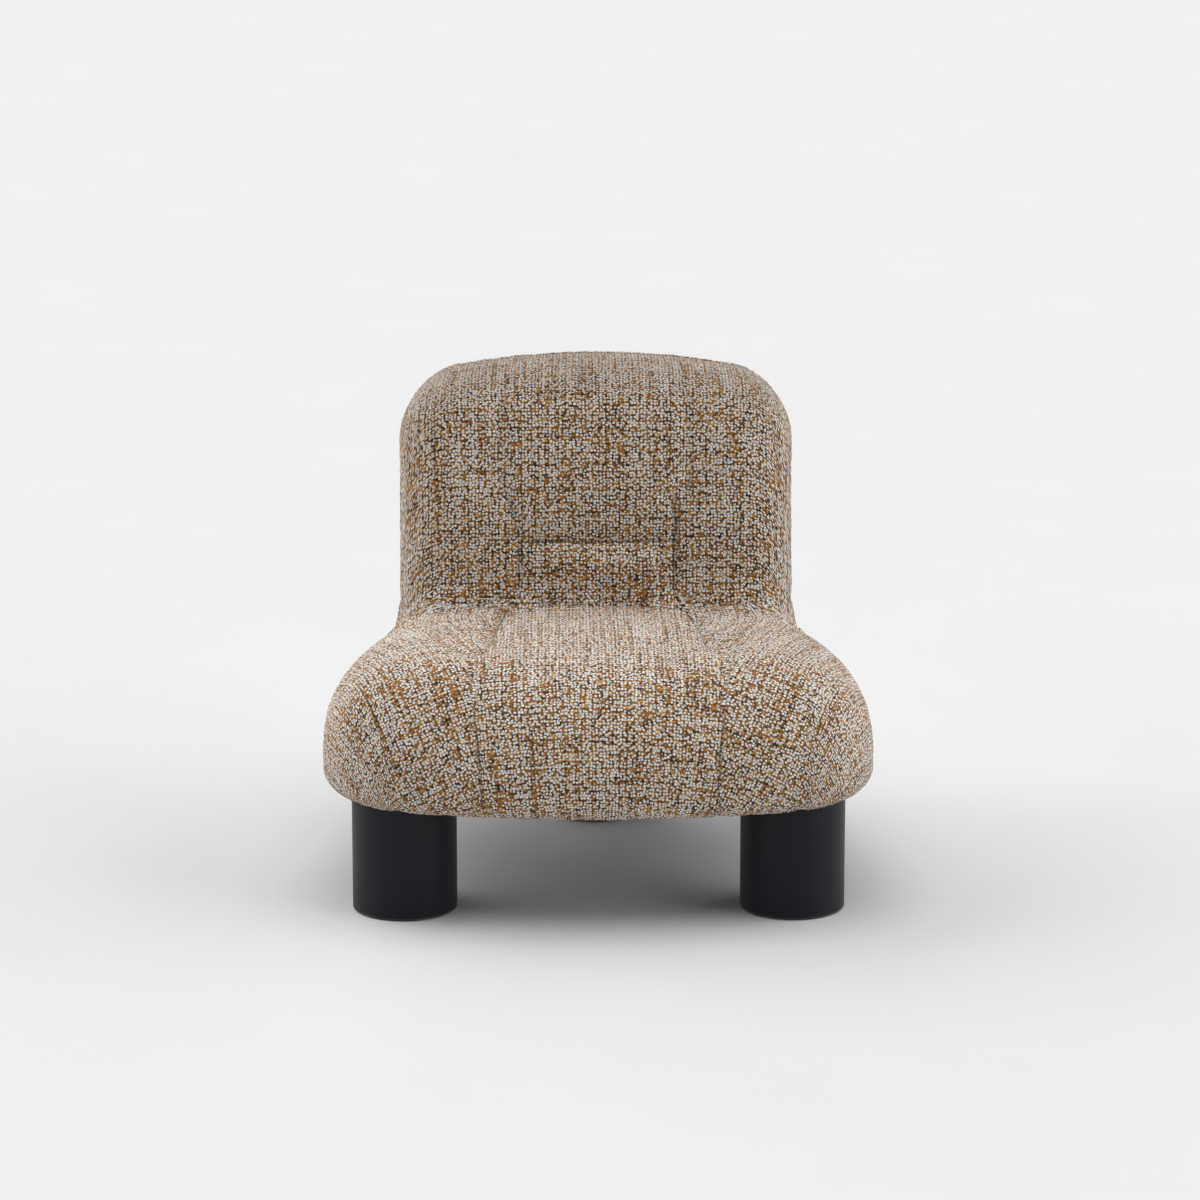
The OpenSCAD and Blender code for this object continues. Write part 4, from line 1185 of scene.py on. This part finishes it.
def set_backdrop():
    """A pale backdrop that the camera, reflections and clear materials see, and that gives no light."""
    world = bpy.data.worlds.new("studio")
    bpy.context.scene.world = world
    world.use_nodes = True
    tree = world.node_tree
    seen = tree.nodes.new("ShaderNodeLightPath")
    ambient = tree.nodes["Background"]
    ambient.inputs[0].default_value, ambient.inputs[1].default_value = (1, 1, 1, 1), 0.0
    backdrop = tree.nodes.new("ShaderNodeBackground")
    backdrop.inputs[0].default_value = (*linear(BACKDROP, BACKDROP, BACKDROP), 1)
    either = [tree.nodes.new("ShaderNodeMath") for _ in range(2)]
    for node, (a, b) in zip(either, (("Is Camera Ray", "Is Glossy Ray"), (None, "Is Transmission Ray"))):
        node.operation = "MAXIMUM"
        tree.links.new(seen.outputs[a] if a else either[0].outputs[0], node.inputs[0])
        tree.links.new(seen.outputs[b], node.inputs[1])
    choice = tree.nodes.new("ShaderNodeMixShader")
    for k, made in enumerate((either[1], ambient, backdrop)):
        tree.links.new(made.outputs[0], choice.inputs[k])
    tree.links.new(choice.outputs[0], tree.nodes["World Output"].inputs[0])


def set_camera():
    """The photograph's view: a long lens from the front, a little above the seat."""
    place = (CAMERA_AWAY * math.sin(CAMERA_ASIDE), -CAMERA_AWAY * math.cos(CAMERA_ASIDE), CAMERA_HEIGHT)
    bpy.ops.object.camera_add(location=place, rotation=(math.pi / 2 - CAMERA_DOWN, 0, CAMERA_ASIDE))
    camera = bpy.context.active_object
    camera.data.sensor_width, camera.data.lens = SENSOR, SENSOR * LENS / PICTURE
    camera.data.shift_x = SHIFT / PICTURE
    camera.data.clip_end = 200
    bpy.context.scene.camera = camera


def dress_frame():
    """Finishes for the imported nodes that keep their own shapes."""
    kinds = ("leg_", "base_cap_", "mounting_plate_")
    legs, caps, plates = ([kind + side for side in LEG_CENTRES] for kind in kinds)
    rails = ["front_rail", "rear_rail", "hoop_rail", "side_rail_left", "side_rail_right"]
    for material, nodes in (
        (powder_coat(), legs),
        (moulded_plastic("cap_plastic", linear(26, 26, 28), 0.4), caps),
        (bare_steel(), [*rails, "back_hoop", "hoop_brace", "hoop_gussets", *plates]),
        (moulded_plastic("plug_plastic", linear(34, 34, 36), 0.45), ["rail_plugs"]),
        (zinc(), ["leg_washers", "leg_nuts"]),
    ):
        for name in nodes:
            dress_node(name, material)


bpy.context.scene.view_settings.view_transform = "Standard"
dress_frame()
fill_foam(*sew_cover())
weave_straps()
press_felt_pads()
stretch_dust_cover()
set_floor()
set_lights()
set_backdrop()
set_camera()
